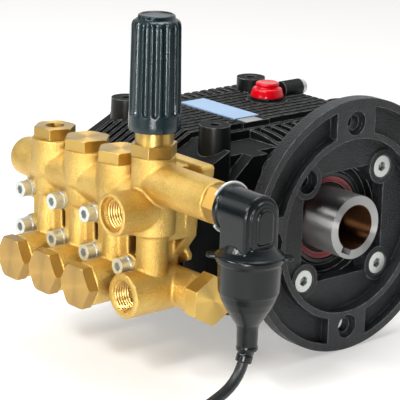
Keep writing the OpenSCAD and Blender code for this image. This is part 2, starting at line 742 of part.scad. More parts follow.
// Valve head casting
module upright_boss(x) {
  translate([x, valve_y, 0])
    rotate_extrude()
      polygon([
        [0, -6], [5, -6], [valve_boss_r - 5.4, seat_z - 4], [valve_boss_r - 2.7, seat_z - 1],
        [valve_boss_r - 2, seat_z + 2.5], [valve_boss_r - 1.6, seat_z + 6],
        [valve_boss_r - 1.5, seat_z + 9.8], [valve_boss_r - 1.2, seat_z + 10.6],
        [valve_boss_r, seat_z + 11.6], [valve_boss_r, cap_z], [0, cap_z]
      ]);
}
module head_body() {
  box([bolt_x[0] - 9, joint_y - 9, -suction_z + 3], [bolt_x[3] + 4, joint_y, bolt_row + 9]);
  box([cyl_x[0] - 4, valve_y - 2, -suction_z], [bolt_x[3] + 4, joint_y - 8, bolt_row + 4]);
  for (x = cyl_x) {
    upright_boss(x);
    to_front([x, joint_y - 4, 0]) cylinder(r = packing_r + 2.2, h = joint_y - chamber_y - 0.5);
    to_front([x, joint_y - 4, -suction_z]) cylinder(r = barrel_r, h = joint_y - 4 - barrel_y);
    translate([x, passage_y, -suction_z]) cylinder(r1 = 8.4, r2 = 5.4, h = suction_z + seat_z - 0.5);
  }
  for (x = bolt_x, z = [-bolt_row, bolt_row])
    to_front([x, joint_y - 4, z]) cylinder(d = head_bolt_head + 3.4, h = bolt_seat_ahead - 4);
  along_x([cyl_x[0] - 24, valve_y, gallery_z]) cylinder(r = 12.5, h = unloader_x - cyl_x[0] + 24);
  along_x([cyl_x[0] - 32, valve_y, gallery_z])
    rotate_extrude() polygon([[0, 0], [10.6, 0], [11.9, 1.6], [12.3, 4], [12.3, 8.6], [0, 8.6]]);
  along_x([cyl_x[0] - barrel_r + 3, suction_y, -suction_z])
    cylinder(r = suction_gallery_ahead - gap, h = -8 - cyl_x[0] + barrel_r - 3);
  translate([unloader_x, valve_y, -suction_z]) cylinder(r = 9.5, h = suction_z + 12);
  translate([unloader_x, valve_y, 10]) cylinder(r = 13, h = column_z - 10);
  box([unloader_x - 9, valve_y, 5], [unloader_x + 7.5, joint_y - 6, column_z - 8]);
  box([unloader_x - 9, valve_y, -suction_z], [unloader_x - 3, joint_y - 6, 6]);
  slab_y(joint_y - 1, 9)
    polygon([
      [bolt_x[3] - 2, column_z - 14], [bolt_x[3] - 2, column_z - 6],
      [-15.5, column_z - 6], [-13.5, column_z - 8],
      [-14.5, column_z - 14]
    ]);
  slab_y(joint_y - 1, 9)
    polygon([
      [bolt_x[3], column_z - 10], [unloader_x + 10, column_z - 10],
      [unloader_x + 7.5, 5.5], [bolt_x[3] + 5, -17],
      [bolt_x[3], -17]
    ]);
  slab_y(joint_y, 4)
    polygon([
      [bolt_x[3], 0], [unloader_x - 3.5, -0.5], [unloader_x + 3, -8],
      [unloader_x + 2, -11.5], [bolt_x[3] + 3, -17.5],
      [bolt_x[3], -17.5]
    ]);
  to_front([unloader_x, valve_y + 2, outlet_z]) cylinder(r = 12.6, h = valve_y + 2 - port_y);
  to_front([unloader_x, suction_y, -suction_z]) cylinder(r = 13.6, h = suction_y - inlet_y);
  along_x([unloader_x, valve_y, tube_z]) cylinder(r = tube_r, h = tube_out - unloader_x);
}
module head_bores() {
  for (x = cyl_x) {
    to_front([x, joint_y + 1, 0]) cylinder(r = packing_r, h = 14);
    to_front([x, joint_y - 12, 0]) cylinder(r = chamber_r, h = joint_y - 12 - chamber_y);
    to_front([x, chamber_y + 1, 0]) cylinder(r = 4.5, h = chamber_y + 2 - passage_y);
    translate([x, passage_y, -suction_z]) cylinder(r = 3.6, h = suction_z + 1);
    translate([x, valve_y, 0]) cylinder(r = seat_hole_r, h = seat_z + 1);
    translate([x, valve_y, seat_z]) cylinder(r = pocket_r, h = valve_stack + 1);
    to_front([x, suction_seat_y, -suction_z]) cylinder(r = pocket_r, h = valve_stack + 1);
    to_front([x, suction_y, -suction_z]) cylinder(r = seat_hole_r, h = suction_y - suction_seat_y + 1);
  }
  for (x = bolt_x, z = [-bolt_row, bolt_row])
    to_front([x, joint_y + 1, z]) cylinder(d = head_bolt_d + 0.6, h = bolt_seat_ahead + 2);
  for (x = bolt_x, z = [-bolt_row, bolt_row])
    to_front([x, bolt_seat_y, z]) cylinder(d = head_bolt_head + 1 + 2 * gap, h = 16);
  for (x = [for (i = [1:3]) bolt_x[i]])
    box([x - 1.9, valve_y - 8, -5.5], [x + 1.9, joint_y - 9.5, 5.5]);
  along_x([cyl_x[0], valve_y, gallery_z]) cylinder(r = 5.5, h = unloader_x - cyl_x[0]);
  along_x([cyl_x[0], suction_y, -suction_z]) cylinder(r = 8.6, h = -7 - cyl_x[0]);
  translate([unloader_x, valve_y, -suction_z]) cylinder(r = 5.4, h = column_z + suction_z + 1);
  translate([unloader_x, valve_y, column_z - 11]) cylinder(r = stem_r - 0.6, h = 12);
  to_front([unloader_x, valve_y, outlet_z]) cylinder(d = outlet_bore - 7, h = valve_y - port_y);
  to_front([unloader_x, port_y + thread_len + 4, outlet_z]) cylinder(d = outlet_bore, h = thread_len + 5);
  to_front([unloader_x, port_y + 4, outlet_z]) cylinder(d = outlet_bore + 1.8, h = 5);
  to_front([unloader_x, suction_y, -suction_z]) cylinder(d = inlet_bore - 2, h = suction_y - inlet_y);
  to_front([unloader_x, inlet_y + thread_len + 2, -suction_z]) cylinder(d = inlet_bore, h = thread_len + 3);
  along_x([unloader_x, valve_y, tube_z]) cylinder(r = 6, h = tube_out - unloader_x + 1);
}
module manifold() {
  color(brass)
    difference() {
      head_body();
      head_bores();
    }
}
module head_bolts() {
  washer = 2.4;
  head_h = 6.2;
  color(zinc)
    for (x = bolt_x, z = [-bolt_row, bolt_row])
      to_front([x, joint_y + bolt_grip, z])
        difference() {
          union() {
            cylinder(d = head_bolt_d - 0.7, h = bolt_grip + bolt_seat_ahead + 1);
            translate([0, 0, bolt_grip + bolt_seat_ahead]) cylinder(d = head_bolt_head + 1, h = washer);
            translate([0, 0, bolt_grip + bolt_seat_ahead + washer - 0.5])
              cylinder(d = head_bolt_head, h = head_h + 0.5);
          }
          translate([0, 0, bolt_grip + bolt_seat_ahead + washer + head_h - 3.4])
            cylinder(r = head_bolt_d * 0.48, h = 4, $fn = 6);
        }
}
module suction_plug() {
  color(bright_brass)
    along_x([-8, suction_y, -suction_z]) {
      hex_cap(27, 10);
      translate([0, 0, -14]) cylinder(r = 8.6 - seat, h = 15);
    }
}

// Valves: each stack stands on its seat and points to its cap
module on_discharge(i) { translate([cyl_x[i], valve_y, seat_z]) children(); }
module on_suction(i) { to_front([cyl_x[i], suction_seat_y, -suction_z]) children(); }
module every_valve() {
  for (i = [0:2]) {
    on_discharge(i) children();
    on_suction(i) children();
  }
}
module valve_seats() {
  color("#a8adb2")
    every_valve()
      rotate_extrude()
        polygon([
          [seat_hole_r, 0], [pocket_r - seat, 0], [pocket_r - seat, seat_h], [seat_hole_r + 1.2, seat_h],
          [seat_hole_r, seat_h - 1.2]
        ]);
}
module valve_cages() {
  color("#2f3436")
    every_valve()
      translate([0, 0, seat_h])
        difference() {
          cylinder(r = pocket_r - seat, h = cage_h);
          translate([0, 0, -1]) cylinder(r = pocket_r - 1.4, h = cage_h - 1);
          cylinder(r = 2.4, h = cage_h + 1);
          for (a = [0, 90]) rotate([0, 0, a]) translate([-2 * pocket_r, -0.4 * pocket_r, 2.5])
            cube([4 * pocket_r, 0.8 * pocket_r, cage_h - 6]);
        }
}
module valve_springs() {
  wire = 0.9;
  low = seat_h + 2.8 + valve_lift + wire / 2;
  high = seat_h + cage_h - 2 - wire / 2;
  color(steel) every_valve() translate([0, 0, low]) tube(helix(4.6, high - low, 4, 10), wire / 2, 6);
}
module poppet() {
  color(steel)
    translate([0, 0, seat_h + run])
      rotate_extrude()
        polygon([
          [0, -1], [seat_hole_r - 0.6, -1], [seat_hole_r + 0.2, 0], [seat_hole_r + 1.6, 0],
          [seat_hole_r + 1.6, 2], [2, 2.4], [2, cage_h - 3.5 - valve_lift], [0, cage_h - 3.5 - valve_lift]
        ]);
}
module valve_cap(af) {
  translate([0, 0, seat_h + cage_h]) cylinder(r = pocket_r - 3 * seat, h = cap_plug + 1);
  translate([0, 0, valve_stack]) hex_cap(af, cap_hex);
}
module valve_caps() {
  color(bright_brass) {
    for (i = [1:2]) on_discharge(i) rotate([0, 0, 16]) valve_cap(cap_af);
    for (i = [0:2]) on_suction(i) valve_cap(cap_af);
  }
}
module gauge_cap() {
  color(bright_brass)
    on_discharge(0)
      difference() {
        rotate([0, 0, 10]) valve_cap(gauge_af);
        translate([0, 0, valve_stack + cap_hex - 12]) cylinder(d = gauge_bore, h = 13);
        translate([0, 0, seat_h + cage_h - 1]) cylinder(r = 2, h = cap_plug + cap_hex);
      }
}
module plunger_packings() {
  color("#3a3f42")
    for (x = cyl_x)
      to_front([x, joint_y, 0])
        difference() {
          ring(packing_r - seat, plunger_d / 2 + run, 12);
          for (k = [3, 6, 9])
            translate([0, 0, k]) rotate_extrude() translate([plunger_d / 2, 0]) circle(r = 0.8, $fn = 24);
        }
}

// Unloader: the knob screws down on the spring, which holds the piston on its seat
nut_z = column_z + stem_nut_h;
knob_z = nut_z + knob_gap;
follower_z = nut_z + stem_rise + 5;
piston_z = column_z - 6;
spring_low = piston_z + 4;
module at_unloader(z) { translate([unloader_x, valve_y, z]) children(); }
module unloader_stem() {
  color(bright_brass)
    at_unloader(column_z)
      difference() {
        union() {
          translate([0, 0, -10]) cylinder(r = stem_r - 0.6 - seat, h = 11);
          rotate([0, 0, 8]) hex(stem_af, stem_nut_h);
          cylinder(r = stem_r, h = stem_nut_h + stem_rise);
        }
        translate([0, 0, -11]) cylinder(r = stem_bore_r, h = stem_nut_h + stem_rise + 12);
      }
}
module unloader_spring() {
  wire = 2;
  color(steel)
    at_unloader(spring_low + wire / 2)
      tube(helix(6.6, follower_z - spring_low - wire, 8, 12), wire / 2, 6);
}
module spring_follower() {
  color(steel)
    at_unloader(follower_z) {
      translate([0, 0, -8]) cylinder(r = 4, h = 9);
      cylinder(r = stem_bore_r - gap, h = 3);
      cylinder(r = 4.5, h = 12);
    }
}
module pressure_knob() {
  top = knob_z + knob_h;
  color("#1d2224")
    difference() {
      at_unloader(knob_z)
        rotate_extrude()
          polygon([
            [0, 0], [knob_r - 0.6, 0], [knob_r, 0.8],
            [knob_r - 0.9, knob_h - 7], [knob_r - 2, knob_h - 3.2],
            [knob_r - 4.4, knob_h - 1.2], [knob_r - 4.8, knob_h], [0, knob_h]
          ]);
      at_unloader(knob_z - 1) cylinder(r = stem_r + gap, h = follower_z + 3 + gap - knob_z + 1);
      at_unloader(follower_z) cylinder(r = 4.5 + run, h = 12 + gap);
      for (k = [0:flutes - 1])
        rotate_about_column(360 * k / flutes) translate([knob_r - 0.1, 0, knob_z + 12]) {
          cylinder(r = flute_r, h = knob_h - 11);
          sphere(r = flute_r);
        }
    }
}
module rotate_about_column(a) { translate([unloader_x, valve_y, 0]) rotate([0, 0, a]) children(); }
module unloader_piston() {
  tip = -4;
  color(steel)
    at_unloader(0) {
      translate([0, 0, piston_z]) cylinder(r = stem_bore_r - gap, h = 3.5);
      translate([0, 0, tip]) cylinder(r = 3, h = piston_z - tip + 1);
      translate([0, 0, 20]) cylinder(r = 5.4 - run, h = 6);
    }
}

// Pressure switch on the tube, its boot and its lead
boot_x = tube_out + 28.5;
neck_r_out = tube_r + 0.5;
nut_len = 10;
switch_at = tube_out + 20;
pin_tail = 16;
module at_tube(x) { along_x([x, valve_y, tube_z]) children(); }
module switch_body() {
  color(bright_brass)
    difference() {
      union() {
        at_tube(tube_out) rotate([0, 0, 30]) hex(2 * tube_r * cos(30), nut_len);
        at_tube(tube_out - 13) cylinder(r = 6 - seat, h = 14);
        at_tube(tube_out + nut_len - 1) cylinder(r = 8.5, h = 7);
      }
      at_tube(tube_out - 14) cylinder(r = 2 + run, h = 40);
    }
}
module switch_pin() {
  color(steel) {
    at_tube(tube_out - pin_tail) cylinder(r = 2, h = pin_tail + switch_at - tube_out - 2 * pin_travel);
    at_tube(tube_out - pin_tail - 2) cylinder(r = 4, h = 3);
  }
}
module micro_switch() {
  color("#1b1e20")
    box([switch_at, valve_y - 5, tube_z - 13], [switch_at + 11.5, valve_y + 5, tube_z + 7]);
}
module switch_clip() {
  color("#b5b8b6")
    at_tube(tube_out + nut_len + 1)
      rotate([0, 0, -52])
        rotate_extrude(angle = 284)
          translate([neck_r_out + 1.3, 0]) circle(r = 0.95, $fn = 24);
}
bell_top = tube_z - 22;
stub_z = -37;
sleeve_tilt = 18;
sleeve_len = 8;
module at_sleeve() {
  translate([boot_x, valve_y, stub_z + 1]) rotate([180 - sleeve_tilt, 0, 0]) children();
}
module cable_boot() {
  color(rubber)
    difference() {
      union() {
        at_tube(tube_out + nut_len + gap)
          cylinder(r = neck_r_out, h = boot_x + 8 - tube_out - nut_len - gap);
        at_tube(boot_x + 7.9) cylinder(r1 = neck_r_out, r2 = neck_r_out - 2.2, h = 3.6);
        box([boot_x - 12, valve_y - 12, bell_top - 2], [boot_x + 9, valve_y + 12, tube_z]);
        box([boot_x, valve_y - 10.4, bell_top + 5], [boot_x + 11, valve_y + 10.4, tube_z]);
        translate([boot_x, valve_y, bell_top - 3]) rotate([0, 0, 45]) box([-24.5, -4.5, 0], [24.5, 4.5, 2]);
        translate([boot_x, valve_y, 0])
          rotate_extrude()
            polygon([
              [0, stub_z], [6.1, stub_z], [6.1, -22], [8.2, -19],
              [13.3, -11], [17.1, -2], [17.9, bell_top - 5],
              [19.2, bell_top - 4], [19.2, bell_top], [16, bell_top + 4], [0, bell_top + 8]
            ]);
        at_sleeve() cylinder(r = lead_d / 2 + 1.6, h = sleeve_len);
      }
      at_sleeve() translate([0, 0, 2]) cylinder(r = lead_d / 2 + gap, h = sleeve_len);
      at_tube(tube_out + nut_len - 1) cylinder(r = 8.5 + gap, h = 10);
      box(
        [switch_at - 2, valve_y - 5 - gap, tube_z - 13 - gap],
        [switch_at + 11.5 + gap, valve_y + 5 + gap, tube_z + 7 + gap]
      );
    }
}

// The lead leaves the sleeve, comes down to the floor and is wound into a coil of two layers.
// Each point of its free stretch is a step forward and a step down from the sleeve's end
tie_t = 1.2;
coil_pitch = lead_d + 0.6;
coil_turns = 2;
coil_out_r = 40;
coil_z = floor_z + tie_t + 0.2 + lead_d / 2;
sleeve_end = [boot_x, valve_y - sleeve_len * sin(sleeve_tilt), stub_z + 1 - sleeve_len * cos(sleeve_tilt)];
lead_fall = sleeve_end.z - coil_z;
lead_steps = [
  [-1.2, -0.12], [0, 0], [1.4, 0.106], [3.4, 0.216], [6.3, 0.325],
  [9.8, 0.417], [13.7, 0.488], [20.5, 0.576],
  [29.5, 0.679], [39.5, 0.786], [49.5, 0.884], [54.5, 0.919], [59.5, 0.95], [69.5, 0.984], [78.5, 0.997],
  [87, 1]
];
lead_path = [for (p = lead_steps) sleeve_end - [0, p.x, p.y * lead_fall]];
coil_at = lead_path[len(lead_path) - 1] + [coil_out_r, 0, 0];
steps = 24;
// Radius and height along the coil: in on the floor, up in half a turn, and out again on top
function coil_r(t) = coil_out_r - coil_pitch * min(t, 2 * coil_turns - t);
function coil_rise(t) = coil_pitch * max(0, min(1, 2 * (t - coil_turns) + 0.5));
coil_path = concat(
  [for (i = [0:2 * coil_turns * steps])
    let (t = i / steps, a = 180 + 360 * t)
      coil_at + [coil_r(t) * cos(a), coil_r(t) * sin(a), coil_rise(t)]],
  [for (d = [1, 2.5, 5]) coil_at + [-coil_out_r, -d * lead_d, coil_pitch]]
);
coil_gap = min([
  for (i = [0:len(coil_path) - 1], j = [i + steps / 2:len(coil_path) - 1]) norm(coil_path[i] - coil_path[j])
]) - lead_d;
echo(least_gap_between_coil_turns = coil_gap);
module cable_lead() { color(rubber) tube(lead_path, lead_d / 2, 10); }
module cable_coil() { color(rubber) tube(coil_path, lead_d / 2, 6); }
module cable_tie() {
  tie_w = 4.5;
  in_r = coil_out_r - coil_pitch * coil_turns - lead_d / 2 - 0.4;
  out_r = coil_out_r + lead_d / 2 + 0.4;
  color("#202426")
    translate([coil_at.x, coil_at.y, floor_z])
        difference() {
          translate([in_r - tie_t, -tie_w / 2, 0])
            cube([out_r - in_r + 2 * tie_t, tie_w, lead_d + coil_pitch + 2 * tie_t + 0.8]);
          translate([in_r, -tie_w, tie_t]) cube([out_r - in_r, 2 * tie_w, lead_d + coil_pitch + 0.8]);
        }
}
module cable_connector() {
  end = coil_path[len(coil_path) - 1];
  color("#2d3133")
    difference() {
      union() {
        translate([end.x - 8, end.y - 30, floor_z]) cube([16, 26, 17]);
        translate([end.x, end.y, end.z]) rotate([90, 0, 0]) cylinder(r1 = 4.4, r2 = 6, h = 5);
      }
      for (x = [-4, 4]) translate([end.x + x - 2.5, end.y - 31, end.z - 2.5]) cube([5, 12, 5]);
    }
}

crankcase();
motor_flange();
flange_screws();
side_cover();
rear_cover();
cover_screws();
oil_plugs();
label_plate();
shaft_seal();
bearing_outer_rings();
plunger_oil_seals();
manifold();
head_bolts();
valve_caps();
gauge_cap();
valve_seats();
valve_cages();
valve_springs();
plunger_packings();
suction_plug();
unloader_stem();
switch_body();
micro_switch();
switch_clip();
cable_boot();
cable_lead();
cable_coil();
cable_tie();
cable_connector();
crankshaft();
bearing_inner_rings();
bearing_balls();
rod(0);  // rod_1
rod(1);  // rod_2
rod(2);  // rod_3
small_end_bush(0);  // small_end_bush_1
small_end_bush(1);  // small_end_bush_2
small_end_bush(2);  // small_end_bush_3
wrist_pin(0);  // wrist_pin_1
wrist_pin(1);  // wrist_pin_2
wrist_pin(2);  // wrist_pin_3
plunger_guide(0);  // plunger_guide_1
plunger_guide(1);  // plunger_guide_2
plunger_guide(2);  // plunger_guide_3
plunger(0);  // plunger_1
plunger(1);  // plunger_2
plunger(2);  // plunger_3
on_suction(0) poppet();  // suction_valve_1
on_suction(1) poppet();  // suction_valve_2
on_suction(2) poppet();  // suction_valve_3
on_discharge(0) poppet();  // discharge_valve_1
on_discharge(1) poppet();  // discharge_valve_2
on_discharge(2) poppet();  // discharge_valve_3
pressure_knob();
spring_follower();
unloader_spring();
unloader_piston();
switch_pin();
oil_cap();
oil_cap_gasket();
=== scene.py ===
import math

import bmesh
import bpy
from mathutils import Matrix, Vector


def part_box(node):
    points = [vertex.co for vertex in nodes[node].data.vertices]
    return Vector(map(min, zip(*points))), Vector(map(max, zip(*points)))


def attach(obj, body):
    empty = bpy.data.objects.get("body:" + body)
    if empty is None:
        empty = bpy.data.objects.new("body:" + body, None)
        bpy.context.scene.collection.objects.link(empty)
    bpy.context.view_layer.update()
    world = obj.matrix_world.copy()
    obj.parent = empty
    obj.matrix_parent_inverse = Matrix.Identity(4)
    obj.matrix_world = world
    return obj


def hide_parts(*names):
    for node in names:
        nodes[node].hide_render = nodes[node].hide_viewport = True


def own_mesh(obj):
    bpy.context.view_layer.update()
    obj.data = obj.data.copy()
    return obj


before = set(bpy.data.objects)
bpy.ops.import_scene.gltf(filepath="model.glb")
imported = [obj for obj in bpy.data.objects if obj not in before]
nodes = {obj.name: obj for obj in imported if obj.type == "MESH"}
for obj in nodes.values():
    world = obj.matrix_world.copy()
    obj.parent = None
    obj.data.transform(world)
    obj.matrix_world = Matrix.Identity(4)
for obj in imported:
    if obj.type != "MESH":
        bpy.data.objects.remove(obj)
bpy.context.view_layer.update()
scene = bpy.context.scene
scene.view_settings.view_transform = "Standard"

# Places in the frame, in millimetres where they aren't given times MM
MM = 0.001
FLOOR_Z = -80 * MM
VALVE_Y = -128.2 * MM
TUBE_Z = 42
BOOT_X = 50
UNLOADER_X = -35.5
KNOB_Z = 72.5
DECK_TOP = 53
FILLER = (-116.5, 32.5)
X_AXIS, Z_AXIS = (1, 0, 0), (0, 0, 1)
FULL_TURN = 2 * math.pi

# The camera stands where the photograph was taken, a little rolled.
AZIMUTH, ELEVATION, ROLL = (math.radians(a) for a in (49.5, 16.27, 1.51))
CAMERA_PLACE = (0.80893, -0.81362, 0.34794)
LENS, SENSOR = 175.48, 36


def set_camera():
    back = Vector((
        math.sin(AZIMUTH) * math.cos(ELEVATION),
        -math.cos(AZIMUTH) * math.cos(ELEVATION),
        math.sin(ELEVATION),
    ))
    level = Vector((math.cos(AZIMUTH), math.sin(AZIMUTH), 0))
    upright = back.cross(level)
    right = level * math.cos(ROLL) + upright * math.sin(ROLL)
    up = upright * math.cos(ROLL) - level * math.sin(ROLL)
    lens = bpy.data.cameras.new("camera")
    lens.sensor_width = SENSOR
    lens.lens = LENS
    lens.clip_start, lens.clip_end = 0.05, 50
    camera = bpy.data.objects.new("camera", lens)
    turn = Matrix((right, up, back)).transposed().to_4x4()
    camera.matrix_world = Matrix.Translation(CAMERA_PLACE) @ turn
    scene.collection.objects.link(camera)
    scene.camera = camera


set_camera()


# Shader nodes

def node_group(name, inputs, outputs):
    tree = bpy.data.node_groups.new(name, "ShaderNodeTree")
    for label, kind, value in inputs:
        socket = tree.interface.new_socket(label, in_out="INPUT", socket_type=kind)
        socket.default_value = value
    for label, kind in outputs:
        tree.interface.new_socket(label, in_out="OUTPUT", socket_type=kind)
    return tree, tree.nodes.new("NodeGroupInput"), tree.nodes.new("NodeGroupOutput")


def use_group(tree, group, **sockets):
    node = tree.nodes.new("ShaderNodeGroup")
    node.node_tree = group
    for key, value in sockets.items():
        plug(tree, node.inputs[key], value)
    return node.outputs


def add(tree, kind, settings=None, **sockets):
    node = tree.nodes.new(kind)
    for key, value in (settings or {}).items():
        setattr(node, key, value)
    for key, value in sockets.items():
        plug(tree, node.inputs[key.replace("_", " ")], value)
    return node


def plug(tree, socket, value):
    if isinstance(value, bpy.types.NodeSocket):
        tree.links.new(value, socket)
    else:
        socket.default_value = value


def plug_in_order(tree, node, values):
    for socket, value in zip(node.inputs, values):
        plug(tree, socket, value)


def math_node(tree, operation, *values):
    node = add(tree, "ShaderNodeMath", {"operation": operation})
    plug_in_order(tree, node, values)
    return node.outputs[0]


def vector_node(tree, operation, *values):
    node = add(tree, "ShaderNodeVectorMath", {"operation": operation})
    plug_in_order(tree, node, values)
    gives_number = operation in ("DOT_PRODUCT", "LENGTH", "DISTANCE")
    return node.outputs["Value" if gives_number else "Vector"]


def remap(tree, value, low, high, to_low=0.0, to_high=1.0):
    node = add(tree, "ShaderNodeMapRange")
    plug_in_order(tree, node, (value, low, high, to_low, to_high))
    return node.outputs[0]


def weighted_sum(tree, *terms):
    """Adds values, each times its share."""
    parts = [
        value if share == 1 else math_node(tree, "MULTIPLY", value, share)
        for value, share in terms
    ]
    total = parts[0]
    for part in parts[1:]:
        total = math_node(tree, "ADD", total, part)
    return total


def blend_colour(tree, factor, first, second):
    """Blends two colours, each of them a socket or three numbers."""
    node = add(tree, "ShaderNodeMix", {"data_type": "RGBA"})
    plug(tree, node.inputs[0], factor)
    for socket, colour in ((node.inputs[6], first), (node.inputs[7], second)):
        plug(tree, socket, colour if isinstance(colour, bpy.types.NodeSocket) else (*colour, 1))
    return node.outputs[2]


def object_place(tree):
    return add(tree, "ShaderNodeTexCoord").outputs["Object"]


def noise(tree, place, scale, detail, rough=0.5):
    return add(
        tree, "ShaderNodeTexNoise", Vector=place, Scale=scale, Detail=detail, Roughness=rough,
    ).outputs[0]


# Groups that the finishes share

def make_cast_skin():
    """Sand-cast skin: a coarse swell, fine grains and a slow change of tone."""
    tree, given, out = node_group(
        "cast_skin",
        [("Grain", "NodeSocketFloat", 900.0), ("Swell", "NodeSocketFloat", 60.0)],
        [(label, "NodeSocketFloat") for label in ("Height", "Tone", "Speckle")],
    )
    place = object_place(tree)
    grain, swell = given.outputs["Grain"], given.outputs["Swell"]
    fine = noise(tree, place, grain, 3.0, 0.6)
    cells = add(tree, "ShaderNodeTexVoronoi", Vector=place, Scale=grain).outputs["Distance"]
    slow = noise(tree, place, swell, 4.0, 0.55)
    height = weighted_sum(tree, (fine, 1), (cells, 0.45), (slow, 0.8))
    mixed = weighted_sum(tree, (slow, 0.45), (fine, 0.55))
    tree.links.new(height, out.inputs["Height"])
    tree.links.new(remap(tree, mixed, 0.36, 0.64), out.inputs["Tone"])
    tree.links.new(remap(tree, fine, 0.35, 0.7), out.inputs["Speckle"])
    return tree


def make_worn_and_highlit_edges():
    """Edges broken to a small radius, and a mask of wear and painted highlight along them."""
    tree, given, out = node_group(
        "worn_and_highlit_edges",
        [("Radius", "NodeSocketFloat", 0.001), ("Wear", "NodeSocketFloat", 1.0)],
        [("Normal", "NodeSocketVector"), ("Edge", "NodeSocketFloat")],
    )
    radius, wear_and_highlight = given.outputs["Radius"], given.outputs["Wear"]
    rounded = add(tree, "ShaderNodeBevel", {"samples": 6}, Radius=radius).outputs[0]
    flat = add(tree, "ShaderNodeNewGeometry").outputs["Normal"]
    # The mask rises from 6 to 28 degrees between the rounded and the flat normal.
    bent = remap(tree, vector_node(tree, "DOT_PRODUCT", rounded, flat), 0.995, 0.88)
    patchy = remap(tree, noise(tree, object_place(tree), 260.0, 4.0), 0.35, 0.62, 0.15, 1.0)
    worn_and_highlit = math_node(tree, "MULTIPLY", bent, patchy)
    tree.links.new(rounded, out.inputs["Normal"])
    tree.links.new(math_node(tree, "MULTIPLY", worn_and_highlit, wear_and_highlight), out.inputs["Edge"])
    return tree


def make_cutter_marks():
    """Fine turning and milling lines over the place given, and a slow cloud over them."""
    tree, given, out = node_group(
        "cutter_marks",
        [("Place", "NodeSocketVector", (0.0, 0.0, 0.0))],
        [("Height", "NodeSocketFloat"), ("Streak", "NodeSocketFloat")],
    )
    lines = noise(tree, given.outputs["Place"], 1.0, 2.0)
    cloud = noise(tree, object_place(tree), 140.0, 3.0)
    tree.links.new(lines, out.inputs["Height"])
    tree.links.new(weighted_sum(tree, (lines, 0.55), (cloud, 0.45)), out.inputs["Streak"])
    return tree


def make_painted_crevice_shade():
    """Painted shade: a mask that rises in corners and sockets, where little light gets in."""
    tree, given, out = node_group(
        "painted_crevice_shade", [("Reach", "NodeSocketFloat", 0.005)], [("CreviceShade", "NodeSocketFloat")])
    clear = add(
        tree, "ShaderNodeAmbientOcclusion", {"samples": 6, "only_local": True},
        Distance=given.outputs["Reach"]).outputs["AO"]
    tree.links.new(remap(tree, clear, 0.8, 0.3), out.inputs["CreviceShade"])
    return tree


cast_skin = make_cast_skin()
worn_and_highlit_edges = make_worn_and_highlit_edges()
cutter_marks = make_cutter_marks()
painted_crevice_shade = make_painted_crevice_shade()


# Finishes: lengths are in metres, and grain, swell and stretch are scales of noise a metre

# How far the painted shade in corners reaches, for cast and for cut finishes
CAST_SHADE_REACH, CUT_SHADE_REACH = 0.008, 0.004
LATHE_LINES = 2600.0
LATHE_DEPTH, LATHE_EDGE = 0.000003, 0.0005


def finish_named(name, **sockets):
    material = bpy.data.materials.new(name)
    material.use_nodes = True
    shader = material.node_tree.nodes["Principled BSDF"]
    for key, value in sockets.items():
        shader.inputs[key.replace("_", " ")].default_value = value
    return material, material.node_tree, shader


def set_colour(tree, shader, tone, crevice_shade, reach):
    """Uses a tone as the base colour, with a darker colour, if any, painted as shade in corners.
    """
    if crevice_shade:
        tone = blend_colour(tree, use_group(tree, painted_crevice_shade, Reach=reach)["CreviceShade"], tone, crevice_shade)
    tree.links.new(tone, shader.inputs["Base Color"])


def set_bump(tree, shader, depth, height, normal):
    bump = add(
        tree, "ShaderNodeBump", Strength=1.0, Distance=depth, Height=height, Normal=normal)
    tree.links.new(bump.outputs[0], shader.inputs["Normal"])


def cast_finish(name, dark, light, worn_and_highlit, rough, grain, swell, depth, radius, wear_and_highlight,
                dust=0.0, crevice_shade=None, **sockets):
    """A cast or moulded surface: two tones, grain, and rounded edges that are paler,
    partly from wear and partly as a painted highlight.

    Dust dulls what faces up, and a darker colour, if given, is painted as shade in corners.
    """
    material, tree, shader = finish_named(name, **sockets)
    skin = use_group(tree, cast_skin, Grain=grain, Swell=swell)
    edge = use_group(tree, worn_and_highlit_edges, Radius=radius, Wear=wear_and_highlight)
    tone = blend_colour(tree, skin["Tone"], dark, light)
    # Edges turn paler: partly wear, partly a painted highlight.
    tone = blend_colour(tree, edge["Edge"], tone, worn_and_highlit)
    set_colour(tree, shader, tone, crevice_shade, CAST_SHADE_REACH)
    dull = remap(tree, skin["Speckle"], 0.0, 1.0, *rough)
    if dust:
        facing = add(tree, "ShaderNodeNewGeometry").outputs["True Normal"]
        upward = add(tree, "ShaderNodeSeparateXYZ", Vector=facing).outputs["Z"]
        dull = math_node(tree, "ADD", dull, remap(tree, upward, 0.6, 0.95, 0.0, dust))
    tree.links.new(dull, shader.inputs["Roughness"])
    set_bump(tree, shader, depth, skin["Height"], edge["Normal"])
    return material


def cut_finish(name, dark, light, rough, stretch, depth, radius, crevice_shade=None, **sockets):
    """A machined or plated surface: cutter lines, a slight change of tone and broken edges."""
    material, tree, shader = finish_named(name, **sockets)
    place = vector_node(tree, "MULTIPLY", object_place(tree), stretch)
    cut_surface(tree, shader, place, dark, light, rough, depth, radius, crevice_shade)
    return material


def cut_surface(tree, shader, place, dark, light, rough, depth, radius, crevice_shade=None):
    marks = use_group(tree, cutter_marks, Place=place)
    edge = use_group(tree, worn_and_highlit_edges, Radius=radius, Wear=1.0)
    tone = blend_colour(tree, marks["Streak"], dark, light)
    set_colour(tree, shader, tone, crevice_shade, CUT_SHADE_REACH)
    tree.links.new(remap(tree, marks["Streak"], 0.25, 0.75, *rough), shader.inputs["Roughness"])
    set_bump(tree, shader, depth, marks["Height"], edge["Normal"])


